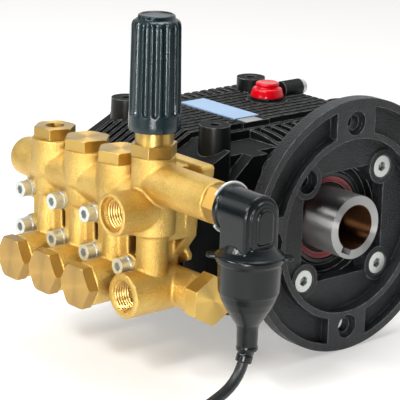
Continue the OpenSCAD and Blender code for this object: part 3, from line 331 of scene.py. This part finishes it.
def turned_finish(name, dark, light, rough, centre, axis=None, pitch=0.0, inside=None, low=None,
                  drawn=0.85):
    """A lathe-turned surface: lines run round its axis and draw its highlight out along it.

    Without an axis, pieces above the shaft stand upright and pieces below it point to the front,
    and low gives two darker tones for those below, painted shade on the faces that point to the
    front. A pitch repeats the axis along X, inside gives the radius and the two tones of a bore,
    darker as painted shade inside it, and drawn says how far the highlight is drawn out.
    """
    material, tree, shader = finish_named(
        name, Metallic=1.0, Coat_Weight=0.6, Coat_Roughness=0.35,
        Anisotropic=drawn, Anisotropic_Rotation=0.25)
    parts = add(tree, "ShaderNodeSeparateXYZ", Vector=object_place(tree)).outputs
    x, y, z = parts["X"], parts["Y"], parts["Z"]
    if pitch:
        x = math_node(tree, "WRAP", x, centre[0] + pitch / 2, centre[0] - pitch / 2)
    spot = add(tree, "ShaderNodeCombineXYZ", X=x, Y=y, Z=z).outputs[0]
    off = vector_node(tree, "SUBTRACT", spot, centre)
    if axis is None:
        upright = math_node(tree, "GREATER_THAN", z, 0.0)
        level = math_node(tree, "SUBTRACT", 1.0, upright)
        axis = add(tree, "ShaderNodeCombineXYZ", X=0.0, Y=level, Z=upright).outputs[0]
    along = vector_node(tree, "DOT_PRODUCT", axis, off)
    tangent = vector_node(tree, "CROSS_PRODUCT", axis, off)
    radius = vector_node(tree, "LENGTH", tangent)
    place = add(
        tree, "ShaderNodeCombineXYZ", X=math_node(tree, "MULTIPLY", radius, LATHE_LINES),
        Y=math_node(tree, "MULTIPLY", along, LATHE_LINES), Z=0.0).outputs[0]
    # Pieces below the shaft take darker tones: painted shade on faces that point to the front.
    if low:
        dark = blend_colour(tree, upright, low[0], dark)
        light = blend_colour(tree, upright, low[1], light)
    # Inside the bore the darker tones are painted shade.
    if inside:
        bore = math_node(tree, "LESS_THAN", radius, inside[0])
        dark = blend_colour(tree, bore, dark, inside[1])
        light = blend_colour(tree, bore, light, inside[2])
    cut_surface(tree, shader, place, dark, light, rough, LATHE_DEPTH, LATHE_EDGE)
    world = add(
        tree, "ShaderNodeVectorTransform",
        {"vector_type": "VECTOR", "convert_from": "OBJECT", "convert_to": "WORLD"},
        Vector=tangent).outputs[0]
    tree.links.new(world, shader.inputs["Tangent"])
    return material


# The paler edge colours below are partly wear and partly painted highlight.
black_casting = cast_finish(
    "black_casting", dark=(0.003, 0.004, 0.004), light=(0.008, 0.009, 0.009),
    worn_and_highlit=(0.34, 0.35, 0.33), rough=(0.30, 0.42), grain=1100.0, swell=70.0,
    depth=0.00006, radius=0.0009, wear_and_highlight=0.9, dust=0.5, Specular_IOR_Level=0.32)
# Flange and brass castings get a darker colour painted as shade in their corners.
flange_casting = cast_finish(
    "flange_casting", dark=(0.004, 0.005, 0.006), light=(0.024, 0.026, 0.030),
    worn_and_highlit=(0.38, 0.39, 0.40), rough=(0.30, 0.48), grain=1000.0, swell=80.0,
    depth=0.0007, radius=0.0008, wear_and_highlight=0.7, crevice_shade=(0.003, 0.003, 0.004), Specular_IOR_Level=0.45)
cast_brass = cast_finish(
    "cast_brass", dark=(0.52, 0.31, 0.052), light=(0.83, 0.60, 0.185),
    worn_and_highlit=(0.92, 0.78, 0.46), rough=(0.34, 0.50), grain=1500.0, swell=45.0,
    depth=0.0004, radius=0.0010, wear_and_highlight=0.5, crevice_shade=(0.27, 0.11, 0.018),
    Metallic=1.0, Coat_Weight=0.35, Coat_Roughness=0.5)
knob_plastic = cast_finish(
    "knob_plastic", dark=(0.0008, 0.009, 0.012), light=(0.002, 0.015, 0.019),
    worn_and_highlit=(0.035, 0.065, 0.072), rough=(0.11, 0.18), grain=1900.0, swell=90.0,
    depth=0.00006, radius=0.0005, wear_and_highlight=0.5, Specular_IOR_Level=0.55)
boot_rubber = cast_finish(
    "boot_rubber", dark=(0.002, 0.004, 0.004), light=(0.006, 0.009, 0.009),
    worn_and_highlit=(0.07, 0.08, 0.082), rough=(0.17, 0.25), grain=2200.0, swell=90.0,
    depth=0.00004, radius=0.0007, wear_and_highlight=0.6, Specular_IOR_Level=0.35)
lead_jacket = cast_finish(
    "lead_jacket", dark=(0.007, 0.009, 0.010), light=(0.012, 0.014, 0.015),
    worn_and_highlit=(0.03, 0.03, 0.03), rough=(0.34, 0.46), grain=2600.0, swell=120.0,
    depth=0.00003, radius=0.0003, wear_and_highlight=0.2)
red_cap_plastic = cast_finish(
    "red_cap_plastic", dark=(0.60, 0.0004, 0.006), light=(0.72, 0.0008, 0.010),
    worn_and_highlit=(0.78, 0.012, 0.04), rough=(0.09, 0.15), grain=900.0, swell=60.0,
    depth=0.000008, radius=0.0006, wear_and_highlight=0.4, Specular_IOR_Level=0.45)
red_seal = cast_finish(
    "red_seal", dark=(0.20, 0.032, 0.036), light=(0.30, 0.055, 0.06),
    worn_and_highlit=(0.42, 0.14, 0.15), rough=(0.34, 0.5), grain=1500.0, swell=90.0,
    depth=0.00005, radius=0.0005, wear_and_highlight=0.4)
plain_alloy = cast_finish(
    "plain_alloy", dark=(0.40, 0.41, 0.42), light=(0.52, 0.53, 0.54),
    worn_and_highlit=(0.7, 0.7, 0.7), rough=(0.34, 0.5), grain=1200.0, swell=70.0,
    depth=0.0001, radius=0.0006, wear_and_highlight=0.5, Metallic=1.0)
plunger_ceramic = cast_finish(
    "plunger_ceramic", dark=(0.80, 0.75, 0.62), light=(0.86, 0.82, 0.72),
    worn_and_highlit=(0.9, 0.88, 0.8), rough=(0.08, 0.16), grain=900.0, swell=50.0,
    depth=0.00001, radius=0.0005, wear_and_highlight=0.3)
label_film = cast_finish(
    "label_film", dark=(0.29, 0.44, 0.66), light=(0.34, 0.50, 0.70),
    worn_and_highlit=(0.46, 0.58, 0.74), rough=(0.34, 0.44), grain=500.0, swell=40.0,
    depth=0.000004, radius=0.0004, wear_and_highlight=0.3)

CAP_PITCH = 0.033
FIRST_CAP_X, GALLERY_Z, PLUG_Y = -0.0995, -0.025, -0.1117
BORE_RADIUS = 0.0143
BRASS_ROUGH = (0.38, 0.48)
BRASS = dict(dark=(0.56, 0.35, 0.07), light=(0.70, 0.48, 0.125), rough=BRASS_ROUGH)
# Caps below the shaft take the darker low tones, a painted shade.
cap_brass = turned_finish(
    "cap_brass", **BRASS, centre=(FIRST_CAP_X, VALVE_Y, GALLERY_Z), pitch=CAP_PITCH,
    low=((0.42, 0.24, 0.042), (0.55, 0.345, 0.08)))
stem_brass = turned_finish(
    "stem_brass", **BRASS, centre=(UNLOADER_X * MM, VALVE_Y, 0.0), axis=Z_AXIS)
plug_brass = turned_finish("plug_brass", **BRASS, centre=(0.0, PLUG_Y, GALLERY_Z), axis=X_AXIS)
# The switch body takes a darker copy of the brass tones: painted shade.
shaded_switch_brass = turned_finish(
    "shaded_switch_brass", dark=(0.36, 0.21, 0.036), light=(0.46, 0.28, 0.06), rough=BRASS_ROUGH,
    centre=(0.0, VALVE_Y, TUBE_Z * MM), axis=X_AXIS)
# The bore keeps a brown tone, darkened further as painted shade inside it.
shaft_steel = turned_finish(
    "shaft_steel", dark=(0.32, 0.32, 0.315), light=(0.46, 0.46, 0.45), rough=(0.36, 0.44),
    centre=(0.0, 0.0, 0.0), axis=X_AXIS, drawn=1.0,
    inside=(BORE_RADIUS, (0.07, 0.028, 0.011), (0.13, 0.055, 0.022)))

# Threads, zinc and bolts get a darker colour painted as shade in grooves and sockets.
thread_brass = cut_finish(
    "thread_brass", dark=(0.66, 0.40, 0.12), light=(0.80, 0.54, 0.20), rough=(0.22, 0.36),
    stretch=(400.0, 400.0, 400.0), depth=0.000004, radius=0.0003,
    crevice_shade=(0.26, 0.11, 0.02), Metallic=1.0)
zinc_plate = cut_finish(
    "zinc_plate", dark=(0.54, 0.57, 0.54), light=(0.72, 0.75, 0.72), rough=(0.30, 0.46),
    stretch=(700.0, 700.0, 700.0), depth=0.00003, radius=0.0005,
    crevice_shade=(0.02, 0.022, 0.02), Metallic=0.7)
bolt_zinc = cut_finish(
    "bolt_zinc", dark=(0.56, 0.59, 0.56), light=(0.70, 0.73, 0.70), rough=(0.24, 0.38),
    stretch=(700.0, 700.0, 700.0), depth=0.00003, radius=0.0005,
    crevice_shade=(0.36, 0.38, 0.36), Metallic=0.7)
ground_steel = cut_finish(
    "ground_steel", dark=(0.50, 0.51, 0.53), light=(0.70, 0.71, 0.72), rough=(0.16, 0.30),
    stretch=(2500.0, 200.0, 200.0), depth=0.000004, radius=0.0004, Metallic=1.0)
bush_bronze = cut_finish(
    "bush_bronze", dark=(0.42, 0.24, 0.10), light=(0.58, 0.36, 0.17), rough=(0.26, 0.4),
    stretch=(900.0, 60.0, 60.0), depth=0.00002, radius=0.0004, Metallic=1.0)


def numbered(*names):
    """The names of pieces that each of the three cylinders has."""
    return ["%s_%d" % (name, i) for name in names for i in (1, 2, 3)]


FINISH_OF = {
    black_casting: ["crankcase", "side_cover", "rear_cover"],
    flange_casting: ["motor_flange"],
    cast_brass: ["manifold"],
    cap_brass: ["valve_caps", "gauge_cap"],
    plug_brass: ["suction_plug"],
    stem_brass: ["unloader_stem"],
    shaded_switch_brass: ["switch_body"],
    shaft_steel: ["crankshaft"],
    zinc_plate: ["flange_screws", "cover_screws", "oil_plugs", "switch_clip"],
    bolt_zinc: ["head_bolts"],
    ground_steel: [
        "bearing_outer_rings", "bearing_inner_rings", "bearing_balls", "valve_seats",
        "valve_springs", "spring_follower", "unloader_spring", "unloader_piston", "switch_pin",
        *numbered("wrist_pin", "plunger_guide", "suction_valve", "discharge_valve"),
    ],
    plain_alloy: numbered("rod"),
    bush_bronze: numbered("small_end_bush"),
    plunger_ceramic: numbered("plunger"),
    knob_plastic: ["pressure_knob", "valve_cages", "micro_switch", "cable_tie", "cable_connector"],
    boot_rubber: ["cable_boot", "plunger_oil_seals", "plunger_packings", "oil_cap_gasket"],
    lead_jacket: ["cable_lead", "cable_coil"],
    red_cap_plastic: ["oil_cap"],
    red_seal: ["shaft_seal"],
    label_film: ["label_plate"],
}
for finish, names in FINISH_OF.items():
    for name in names:
        nodes[name].data.materials.clear()
        nodes[name].data.materials.append(finish)


# Lead: out of the sleeve, forwards and down to the floor, then two layers of turns

LEAD_D = 6.4
SLEEVE_END = (50.0, -130.672, -43.608)
COIL_Z = -75.4
COIL_PITCH = 7.0
COIL_R = 40.0
COIL_TURNS = 2
COIL_STEPS = 24
# How far ahead of the sleeve the lead is, and which share of its way down it has come
LEAD_STEPS = [
    (-1.2, -0.12), (0, 0), (1.4, 0.106), (3.4, 0.216), (6.3, 0.325), (9.8, 0.417), (13.7, 0.488),
    (20.5, 0.576), (29.5, 0.679), (39.5, 0.786), (49.5, 0.884), (54.5, 0.919), (59.5, 0.95),
    (69.5, 0.984), (78.5, 0.997), (87, 1),
]
# The straight end behind the coil, in diameters of the lead
LEAD_TAIL = (1, 2.5, 5)


def lead_route():
    x, y, z = SLEEVE_END
    fall = z - COIL_Z
    points = [Vector((x, y - ahead, z - down * fall)) for ahead, down in LEAD_STEPS]
    centre = points[-1] + Vector((COIL_R, 0, 0))
    for i in range(1, 2 * COIL_TURNS * COIL_STEPS + 1):
        t = i / COIL_STEPS
        # Inwards in the first layer and outwards in the second, with the step up halfway
        r = COIL_R - COIL_PITCH * min(t, 2 * COIL_TURNS - t)
        rise = COIL_PITCH * max(0, min(1, 2 * (t - COIL_TURNS) + 0.5))
        a = math.pi * (1 + 2 * t)
        points.append(centre + Vector((r * math.cos(a), r * math.sin(a), rise)))
    for d in LEAD_TAIL:
        points.append(centre + Vector((-COIL_R, -d * LEAD_D, COIL_PITCH)))
    return [p * MM for p in points]


def make_lead():
    route = lead_route()
    curve = bpy.data.curves.new("lead", "CURVE")
    curve.dimensions = "3D"
    curve.bevel_depth = LEAD_D / 2 * MM
    curve.bevel_resolution = 6
    curve.use_fill_caps = True
    line = curve.splines.new("POLY")
    line.points.add(len(route) - 1)
    for spot, p in zip(line.points, route):
        spot.co = (*p, 1)
    line.use_smooth = True
    piece = bpy.data.objects.new("lead", curve)
    scene.collection.objects.link(piece)
    curve.materials.append(lead_jacket)
    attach(piece, "pump")
    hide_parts("cable_lead", "cable_coil")


make_lead()


# Shapes are drawn in millimetres, closed, and put in the frame as they are made into pieces

MERGE = 0.005


def moved(work, verts, place, angle=0, about="Z"):
    """Turns points by an angle in degrees about an axis and carries them to a place."""
    turn = Matrix.Rotation(math.radians(angle), 4, about)
    bmesh.ops.transform(work, matrix=Matrix.Translation(place) @ turn, verts=verts)


def turned(work, outline, place=(0, 0, 0), along="Z", steps=64):
    """Spins an outline of radius and height pairs, and lays its axis along Z or X."""
    old = set(work.verts)
    corners = [work.verts.new((r, 0, h)) for r, h in outline]
    rim = [work.edges.new(pair) for pair in zip(corners, corners[1:])]
    bmesh.ops.spin(work, geom=corners + rim, cent=(0, 0, 0), axis=Z_AXIS,
                   angle=FULL_TURN, steps=steps, use_merge=True)
    fresh = [v for v in work.verts if v not in old]
    moved(work, fresh, place, 90 if along == "X" else 0, "Y")
    bmesh.ops.remove_doubles(work, verts=fresh, dist=MERGE)
    return [v for v in fresh if v.is_valid]


def wound(work, climb, turns, steps):
    """Winds the closed outline in a drawing about Z, with its climb at each step, and caps it."""
    outline = list(work.verts)
    bmesh.ops.spin(work, geom=outline + list(work.edges), cent=(0, 0, 0), axis=Z_AXIS,
                   dvec=(0, 0, climb), angle=FULL_TURN * turns, steps=turns * steps)
    ends = [e for e in work.edges if e.is_boundary]
    bmesh.ops.holes_fill(work, edges=ends, sides=len(outline))


def pushed(work, corners, way, soften=0.0, segments=3):
    """Pushes a flat outline into a closed block and softens the edges of its far end."""
    face = work.faces.new([work.verts.new(c) for c in corners])
    block = bmesh.ops.extrude_face_region(work, geom=[face])["geom"]
    far = [v for v in block if isinstance(v, bmesh.types.BMVert)]
    bmesh.ops.translate(work, vec=way, verts=far)
    made = list(face.verts) + far
    if soften:
        ends = [e for f in block if isinstance(f, bmesh.types.BMFace) for e in f.edges]
        done = bmesh.ops.bevel(work, geom=ends, offset=soften, segments=segments, profile=0.5,
                               affect="EDGES", material=-1)
        made = [v for v in made if v.is_valid] + list(done["verts"])
    return made


def fresh_mesh(name, work, crease):
    """Ends a drawing as a mesh in metres, with sharp edges from an angle of crease degrees on."""
    bmesh.ops.remove_doubles(work, verts=work.verts, dist=MERGE)
    bmesh.ops.recalc_face_normals(work, faces=work.faces)
    bmesh.ops.scale(work, vec=(MM, MM, MM), verts=work.verts)
    mesh = bpy.data.meshes.new(name)
    work.to_mesh(mesh)
    work.free()
    mesh.shade_smooth()
    mesh.set_sharp_from_angle(angle=math.radians(crease))
    return mesh


def evaluated_mesh(source):
    graph = bpy.context.evaluated_depsgraph_get()
    return bpy.data.meshes.new_from_object(source.evaluated_get(graph))


def moulded(mesh, grid, rounds, most):
    """Melts the overlapping closed shapes of a mesh into one skin with soft corners.

    The grid is in millimetres, rounds says how often the skin is relaxed, and most is the number
    of triangles that it may have.
    """
    source = bpy.data.objects.new("source", mesh)
    scene.collection.objects.link(source)
    melt = source.modifiers.new("melt", "REMESH")
    melt.mode = "VOXEL"
    melt.voxel_size = grid * MM
    relax = source.modifiers.new("relax", "SMOOTH")
    relax.factor, relax.iterations = 0.5, rounds
    skin = evaluated_mesh(source)
    triangles = len(skin.polygons) * 2
    if triangles > most:
        thin = source.modifiers.new("thin", "DECIMATE")
        thin.ratio = most / triangles
        skin = evaluated_mesh(source)
    skin.name = mesh.name
    bpy.data.objects.remove(source)
    skin.shade_smooth()
    return skin


def as_piece(mesh, finishes, body="pump", replaced=()):
    piece = bpy.data.objects.new(mesh.name, mesh)
    scene.collection.objects.link(piece)
    for finish in finishes:
        mesh.materials.append(finish)
    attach(piece, body)
    if replaced:
        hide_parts(*replaced)
    return piece


# Valve head: the casting's own solid with its inner corners filled as sand leaves them

def make_head_casting():
    work = bmesh.new()
    work.from_mesh(nodes["manifold"].data)
    bmesh.ops.scale(work, vec=(1 / MM, 1 / MM, 1 / MM), verts=work.verts)
    mesh = moulded(fresh_mesh("head_casting", work, 60), grid=0.75, rounds=5, most=185000)
    as_piece(mesh, [cast_brass], replaced=["manifold"])


make_head_casting()


# Port threads: one ridge each, wound down the bore. The outline has radius and height pairs.

THREAD_PITCH, THREAD_TURNS, THREAD_STEPS = 1.814, 6, 48
THREAD_RIDGE = ((9.5, -0.86), (8.72, -0.12), (8.72, 0.12), (9.5, 0.86))


def make_port_thread(name, mouth_y, height):
    work = bmesh.new()
    ridge = [work.verts.new((r, 0, h)) for r, h in THREAD_RIDGE]
    for pair in zip(ridge, ridge[1:] + ridge[:1]):
        work.edges.new(pair)
    wound(work, THREAD_PITCH / THREAD_STEPS, THREAD_TURNS, THREAD_STEPS)
    moved(work, work.verts, (UNLOADER_X, mouth_y, height), -90, "X")
    as_piece(fresh_mesh(name, work, 40), [thread_brass])


make_port_thread("outlet_thread", -154.2, 26)
make_port_thread("inlet_thread", -148.6, -25)


# Pressure knob: a turned body with flutes sunk into it, each as a round cutter leaves it

FLUTES = 16
FLUTE_RADIUS, FLUTE_STAND_OFF = 2.1, 0.45
FLUTE_LOW, FLUTE_HIGH = 11.5, 61.6
FLUTE_PHASE = 0.2
# Only the outer skin between these heights is fluted.
FLUTED_RADIUS, FLUTED_LOW, FLUTED_HIGH = 11.8, 6, 64.3
KNOB_RADIUS, KNOB_TAPER, KNOB_SIDE_HIGH = 15.3, 0.9, 60
KNOB_FOOT = [
    (0, 38.5), (11.7, 38.5), (11.7, 0.7), (12.3, 0), (14.7, 0), (15.15, 0.25), (KNOB_RADIUS, 0.8)]
KNOB_HEIGHTS = (
    4, 8.4, 9.2, 9.5, 9.8, 10.2, 10.7, 11.4, 12.4, 14, 20, 32, 44, 54, 58, KNOB_SIDE_HIGH)
KNOB_SIDE = [(KNOB_RADIUS - KNOB_TAPER * h / KNOB_SIDE_HIGH, h) for h in KNOB_HEIGHTS]
KNOB_TOP = [
    (14.3, 60.8), (14.2, 61.4), (14.05, 61.9), (13.85, 62.3), (13.6, 62.7), (13.3, 63.1),
    (12.9, 63.5), (12.4, 63.8), (11.9, 64.1), (11.2, 64.5), (10.8, 65.1), (10.7, 66.1),
    (10.4, 66.7), (9.8, 67), (9.3, 66.9), (8.9, 66.4), (0, 66.2),
]


def make_knob():
    work = bmesh.new()
    turned(work, KNOB_FOOT + KNOB_SIDE + KNOB_TOP, steps=FLUTES * 14)
    spread = FULL_TURN / FLUTES
    for v in work.verts:
        r = math.hypot(v.co.x, v.co.y)
        if r > FLUTED_RADIUS and FLUTED_LOW < v.co.z < FLUTED_HIGH:
            angle = math.atan2(v.co.y, v.co.x) + spread * FLUTE_PHASE
            across = r * abs(angle % spread - spread / 2)
            past = max(0.0, FLUTE_LOW - v.co.z, v.co.z - FLUTE_HIGH)
            reach = math.sqrt(max(0.0, FLUTE_RADIUS ** 2 - across ** 2 - past ** 2))
            depth = max(0.0, reach - FLUTE_STAND_OFF)
            v.co.xy *= (r - depth) / r
    moved(work, work.verts, (UNLOADER_X, VALVE_Y / MM, KNOB_Z))
    mesh = fresh_mesh("fluted_knob", work, 50)
    as_piece(mesh, [knob_plastic], "knob", ["pressure_knob"])


make_knob()


# Unloader spring: round wire coiled round the unloader's axis between two heights

SPRING_LOW, SPRING_HIGH = 55.5, 107.5
SPRING_RADIUS, WIRE_RADIUS = 6.6, 1.0
SPRING_TURNS, SPRING_STEPS, WIRE_SIDES = 8, 32, 10


def make_spring():
    low, high = SPRING_LOW, SPRING_HIGH
    work = bmesh.new()
    bmesh.ops.create_circle(work, segments=WIRE_SIDES, radius=WIRE_RADIUS)
    moved(work, work.verts, (SPRING_RADIUS, 0, 0), 90, "X")
    climb = (high - low - 2 * WIRE_RADIUS) / (SPRING_TURNS * SPRING_STEPS)
    wound(work, climb, SPRING_TURNS, SPRING_STEPS)
    moved(work, work.verts, (UNLOADER_X, VALVE_Y / MM, low + WIRE_RADIUS))
    mesh = fresh_mesh("pressure_spring", work, 50)
    piece = as_piece(mesh, [ground_steel], replaced=["unloader_spring"])
    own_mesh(piece)


make_spring()


# Filler cap: flared skirt, groove and a round top

CAP_OUTLINE = [
    (0, -12), (6.6, -12), (7, -11.6), (7, 1.9), (10.5, 1.9), (10.9, 2.05), (11, 2.4),
    (10.95, 3.0), (10.6, 4.2), (10.1, 5.8), (9.8, 6.8), (9.45, 7.4), (8.9, 7.75), (8.0, 7.95),
    (7.2, 8.05), (6.95, 8.3), (6.95, 8.75), (7.25, 9.15), (7.6, 9.5), (7.7, 9.9),
    (7.65, 10.5), (7.4, 11), (6.9, 11.3), (6.2, 11.4), (5.4, 11.2), (0, 11.1),
]


def make_filler_cap():
    work = bmesh.new()
    turned(work, CAP_OUTLINE, (*FILLER, DECK_TOP), steps=96)
    mesh = fresh_mesh("filler_cap", work, 40)
    as_piece(mesh, [red_cap_plastic], "oil_cap", ["oil_cap"])


make_filler_cap()


# Shaft seal: a dark case with a red lip that lies deeper, round the shaft

SEAL_BORE, SEAL_RIM = 20.15, 29.9
LIP_INNER, LIP_OUTER = 22.3, 26.25
# The front as radius and how far it lies behind the seal's front face
SEAL_FRONT = [
    (SEAL_RIM, 0.8), (29.1, 0), (26.9, 0), (26.4, 0.5), (26.2, 1.2), (24.7, 1.5), (24.4, 2.1),
    (23.7, 2.2), (23.4, 1.7), (22.4, 1.9), (21.9, 2.9), (21.0, 3.2), (20.6, 2.6), (SEAL_BORE, 3.4),
]


def make_seal():
    low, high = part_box("shaft_seal")
    back, front = low[0] / MM, high[0] / MM
    deep = front - back
    outline = [(SEAL_BORE, 0), (SEAL_RIM, 0)]
    outline += [(r, deep - behind) for r, behind in SEAL_FRONT]
    outline.append((SEAL_BORE, 0))
    work = bmesh.new()
    turned(work, outline, (back, 0, 0), "X", 96)
    for face in work.faces:
        middle = face.calc_center_median()
        on_lip = LIP_INNER < math.hypot(middle.y, middle.z) < LIP_OUTER
        face.material_index = 0 if on_lip else 1
    mesh = fresh_mesh("lip_seal", work, 40)
    as_piece(mesh, [red_seal, boot_rubber], replaced=["shaft_seal"])


make_seal()


# Boot: elbow, collar, end panel, bell with its rim and ears, and the stub for the lead

ARCH_STEPS, CORNER_STEPS = 20, 5
BOOT_COLLAR = [(0, 0), (13.3, 0), (13.6, 0.4), (13.6, 2.6), (13.2, 3), (0, 3)]
BOOT_ELBOW = [(0, 0), (12.7, 0), (12.7, 16), (0, 16)]
COLLAR_X, ELBOW_X = 32.1, 34
# Panels as X, arch, thickness, softened edge and its segments
BOOT_PANELS = [
    (38.5, (12.7, 16, 1.5), 21.1, 2.0, 4),
    (57, (9.5, 24.6, 4), 4.3, 0.7, 2),
    (57, (5.6, 27.8, 2.6), 5.5, 0.6, 2),
]
BOOT_BELL = [
    (0, -37), (5.6, -37), (6.2, -36.4), (6.2, -34.6), (5.9, -34), (6.05, -24), (6.7, -21.4),
    (8.4, -18.9), (10.9, -15), (13.4, -11), (15.5, -6.6), (16.9, -2.4), (17.3, -1.8), (17.6, 6),
    (18.0, 14.6), (18.2, 15.6), (19.0, 16), (19.2, 16.6), (19.2, 19), (18.7, 19.8), (17.8, 20.3),
    (15.2, 22.6), (13.2, 25.4), (0, 26),
]
BOOT_EAR = [(0, -4.4), (22, -4.4), (24.2, -2.2), (24.2, 2.2), (22, 4.4), (0, 4.4)]
EAR_Z, EAR_THICK, EAR_ANGLES = 17.2, 1.8, (45, 225)
BOOT_STUB = [
    (0, -1), (4.7, -1), (4.8, 2.2), (4.4, 2.6), (4.4, 3.4), (4.8, 3.8), (4.7, 7.6), (4.4, 8),
    (0, 8),
]
STUB_Z, STUB_ANGLE = -36, 162


def arch(half, low, corner):
    """Outline of a round-topped panel round the switch, as y and z pairs.

    It has a half width, the height of its low edge and the radius of its corners there.
    """
    y, z = VALVE_Y / MM, TUBE_Z
    bend = [math.pi * k / ARCH_STEPS for k in range(ARCH_STEPS + 1)]
    turn = [math.pi / 2 * k / CORNER_STEPS for k in range(CORNER_STEPS + 1)]
    top = [(y + half * math.cos(a), z + half * math.sin(a)) for a in bend]
    left = [
        (y - half + corner - corner * math.cos(a), low + corner - corner * math.sin(a))
        for a in turn
    ]
    right = [
        (y + half - corner + corner * math.sin(a), low + corner - corner * math.cos(a))
        for a in turn
    ]
    return top + left + right


def make_boot():
    work = bmesh.new()
    y = VALVE_Y / MM
    turned(work, BOOT_COLLAR, (COLLAR_X, y, TUBE_Z), "X")
    turned(work, BOOT_ELBOW, (ELBOW_X, y, TUBE_Z), "X")
    for x, shape, thick, edge, segments in BOOT_PANELS:
        pushed(work, [(x, *c) for c in arch(*shape)], (thick, 0, 0), edge, segments)
    turned(work, BOOT_BELL, (BOOT_X, y, 0), steps=96)
    for angle in EAR_ANGLES:
        ear = pushed(work, [(*c, EAR_Z) for c in BOOT_EAR], (0, 0, EAR_THICK))
        moved(work, ear, (BOOT_X, y, 0), angle)
    stub = turned(work, BOOT_STUB, steps=48)
    moved(work, stub, (BOOT_X, y, STUB_Z), STUB_ANGLE, "X")
    mesh = moulded(fresh_mesh("boot", work, 60), grid=0.38, rounds=2, most=160000)
    as_piece(mesh, [boot_rubber], replaced=["cable_boot"])


make_boot()


# Bare plate beside the label

PLATE_X, PLATE_Y = (-83.6, -74.4), (-22.6, -8.4)
PLATE_THICK, PLATE_EDGE = 0.5, 0.2


def make_bare_plate():
    (left, right), (front, back) = PLATE_X, PLATE_Y
    corners = [(left, front), (right, front), (right, back), (left, back)]
    work = bmesh.new()
    pushed(work, [(*c, DECK_TOP) for c in corners], (0, 0, PLATE_THICK), PLATE_EDGE, 2)
    as_piece(fresh_mesh("bare_plate", work, 30), [plain_alloy])


make_bare_plate()


# Floor and light, in metres and watts. The floor is pale and glows a little round the pump.

FLOOR_RADIUS, FLOOR_GAP = 6.0, 0.0002
PALE_CENTRE = (-0.47, 0.31, FLOOR_Z)
PALE_INSIDE, PALE_OUTSIDE = 0.85, 1.15
FLOOR_DARK, FLOOR_PALE = (0.2, 0.2, 0.2), (0.74, 0.73, 0.71)
GLOW_COLOUR, GLOW = (1, 0.995, 0.98, 1), 0.32
SKY_WAY, SKY_STRENGTH = (-0.2, 0.9, 0.39), 0.75
SKY_DARK, SKY_BRIGHT = (0.05, 0.05, 0.053), (1.15, 1.16, 1.18)
# Name, place, aim, size and power
LAMPS = [
    ("key", (0.50, -1.42, 1.24), (-0.05, -0.07, 0.02), (0.45, 0.45), 12),
    ("shaft_strip", (-0.42, -1.12, 0.90), (0.0, -0.05, 0.02), (0.5, 0.07), 9),
    ("near_strip", (0.60, -0.80, 0.10), (-0.06, -0.10, 0.08), (0.16, 0.34), 7),
    ("front_strip", (-0.08, -1.12, 0.14), (-0.08, -0.10, 0.06), (0.45, 0.42), 1.5),
    ("left", (-1.5, -1.0, 0.9), (-0.08, -0.06, 0.0), (0.6, 0.9), 3),
    ("top", (-0.25, 0.3, 1.6), (-0.08, 0.0, 0.0), (1.0, 0.8), 13),
]


def make_floor():
    work = bmesh.new()
    bmesh.ops.create_circle(work, cap_ends=True, segments=96, radius=FLOOR_RADIUS)
    bmesh.ops.translate(work, verts=work.verts, vec=(0, 0, FLOOR_Z - FLOOR_GAP))
    mesh = bpy.data.meshes.new("floor")
    work.to_mesh(mesh)
    work.free()
    floor = bpy.data.objects.new("floor", mesh)
    scene.collection.objects.link(floor)
    material, tree, shader = finish_named("floor_paper", Roughness=0.9)
    away = vector_node(tree, "DISTANCE", object_place(tree), PALE_CENTRE)
    pale = remap(tree, away, PALE_INSIDE, PALE_OUTSIDE, 1.0, 0.0)
    colour = blend_colour(tree, pale, FLOOR_DARK, FLOOR_PALE)
    tree.links.new(colour, shader.inputs["Base Color"])
    # The glow is seen, also in reflections, but lights nothing.
    path = add(tree, "ShaderNodeLightPath").outputs
    seen = math_node(tree, "MAXIMUM", path["Is Camera Ray"], path["Is Glossy Ray"])
    seen = math_node(tree, "MAXIMUM", seen, path["Is Transmission Ray"])
    seen = math_node(tree, "MULTIPLY", seen, pale)
    strength = math_node(tree, "MULTIPLY", seen, GLOW)
    glow = add(tree, "ShaderNodeEmission", Color=GLOW_COLOUR, Strength=strength)
    both = add(tree, "ShaderNodeAddShader")
    plug_in_order(tree, both, (shader.outputs[0], glow.outputs[0]))
    tree.links.new(both.outputs[0], tree.nodes["Material Output"].inputs["Surface"])
    mesh.materials.append(material)


def make_lamp(name, place, aim, size, power):
    data = bpy.data.lights.new(name, "AREA")
    data.shape = "RECTANGLE"
    data.size, data.size_y = size
    data.energy = power
    lamp = bpy.data.objects.new(name, data)
    lamp.location = place
    lamp.rotation_euler = (Vector(aim) - Vector(place)).to_track_quat("-Z", "Y").to_euler()
    scene.collection.objects.link(lamp)


def make_world():
    """A sky that is bright on the side behind the pump."""
    world = bpy.data.worlds.new("studio")
    scene.world = world
    world.use_nodes = True
    tree = world.node_tree
    shade = tree.nodes["Background"]
    way = add(tree, "ShaderNodeTexCoord").outputs["Generated"]
    facing = vector_node(tree, "DOT_PRODUCT", way, SKY_WAY)
    sky = blend_colour(tree, remap(tree, facing, 0.0, 0.85), SKY_DARK, SKY_BRIGHT)
    tree.links.new(sky, shade.inputs["Color"])
    shade.inputs["Strength"].default_value = SKY_STRENGTH


make_floor()
for lamp in LAMPS:
    make_lamp(*lamp)
make_world()
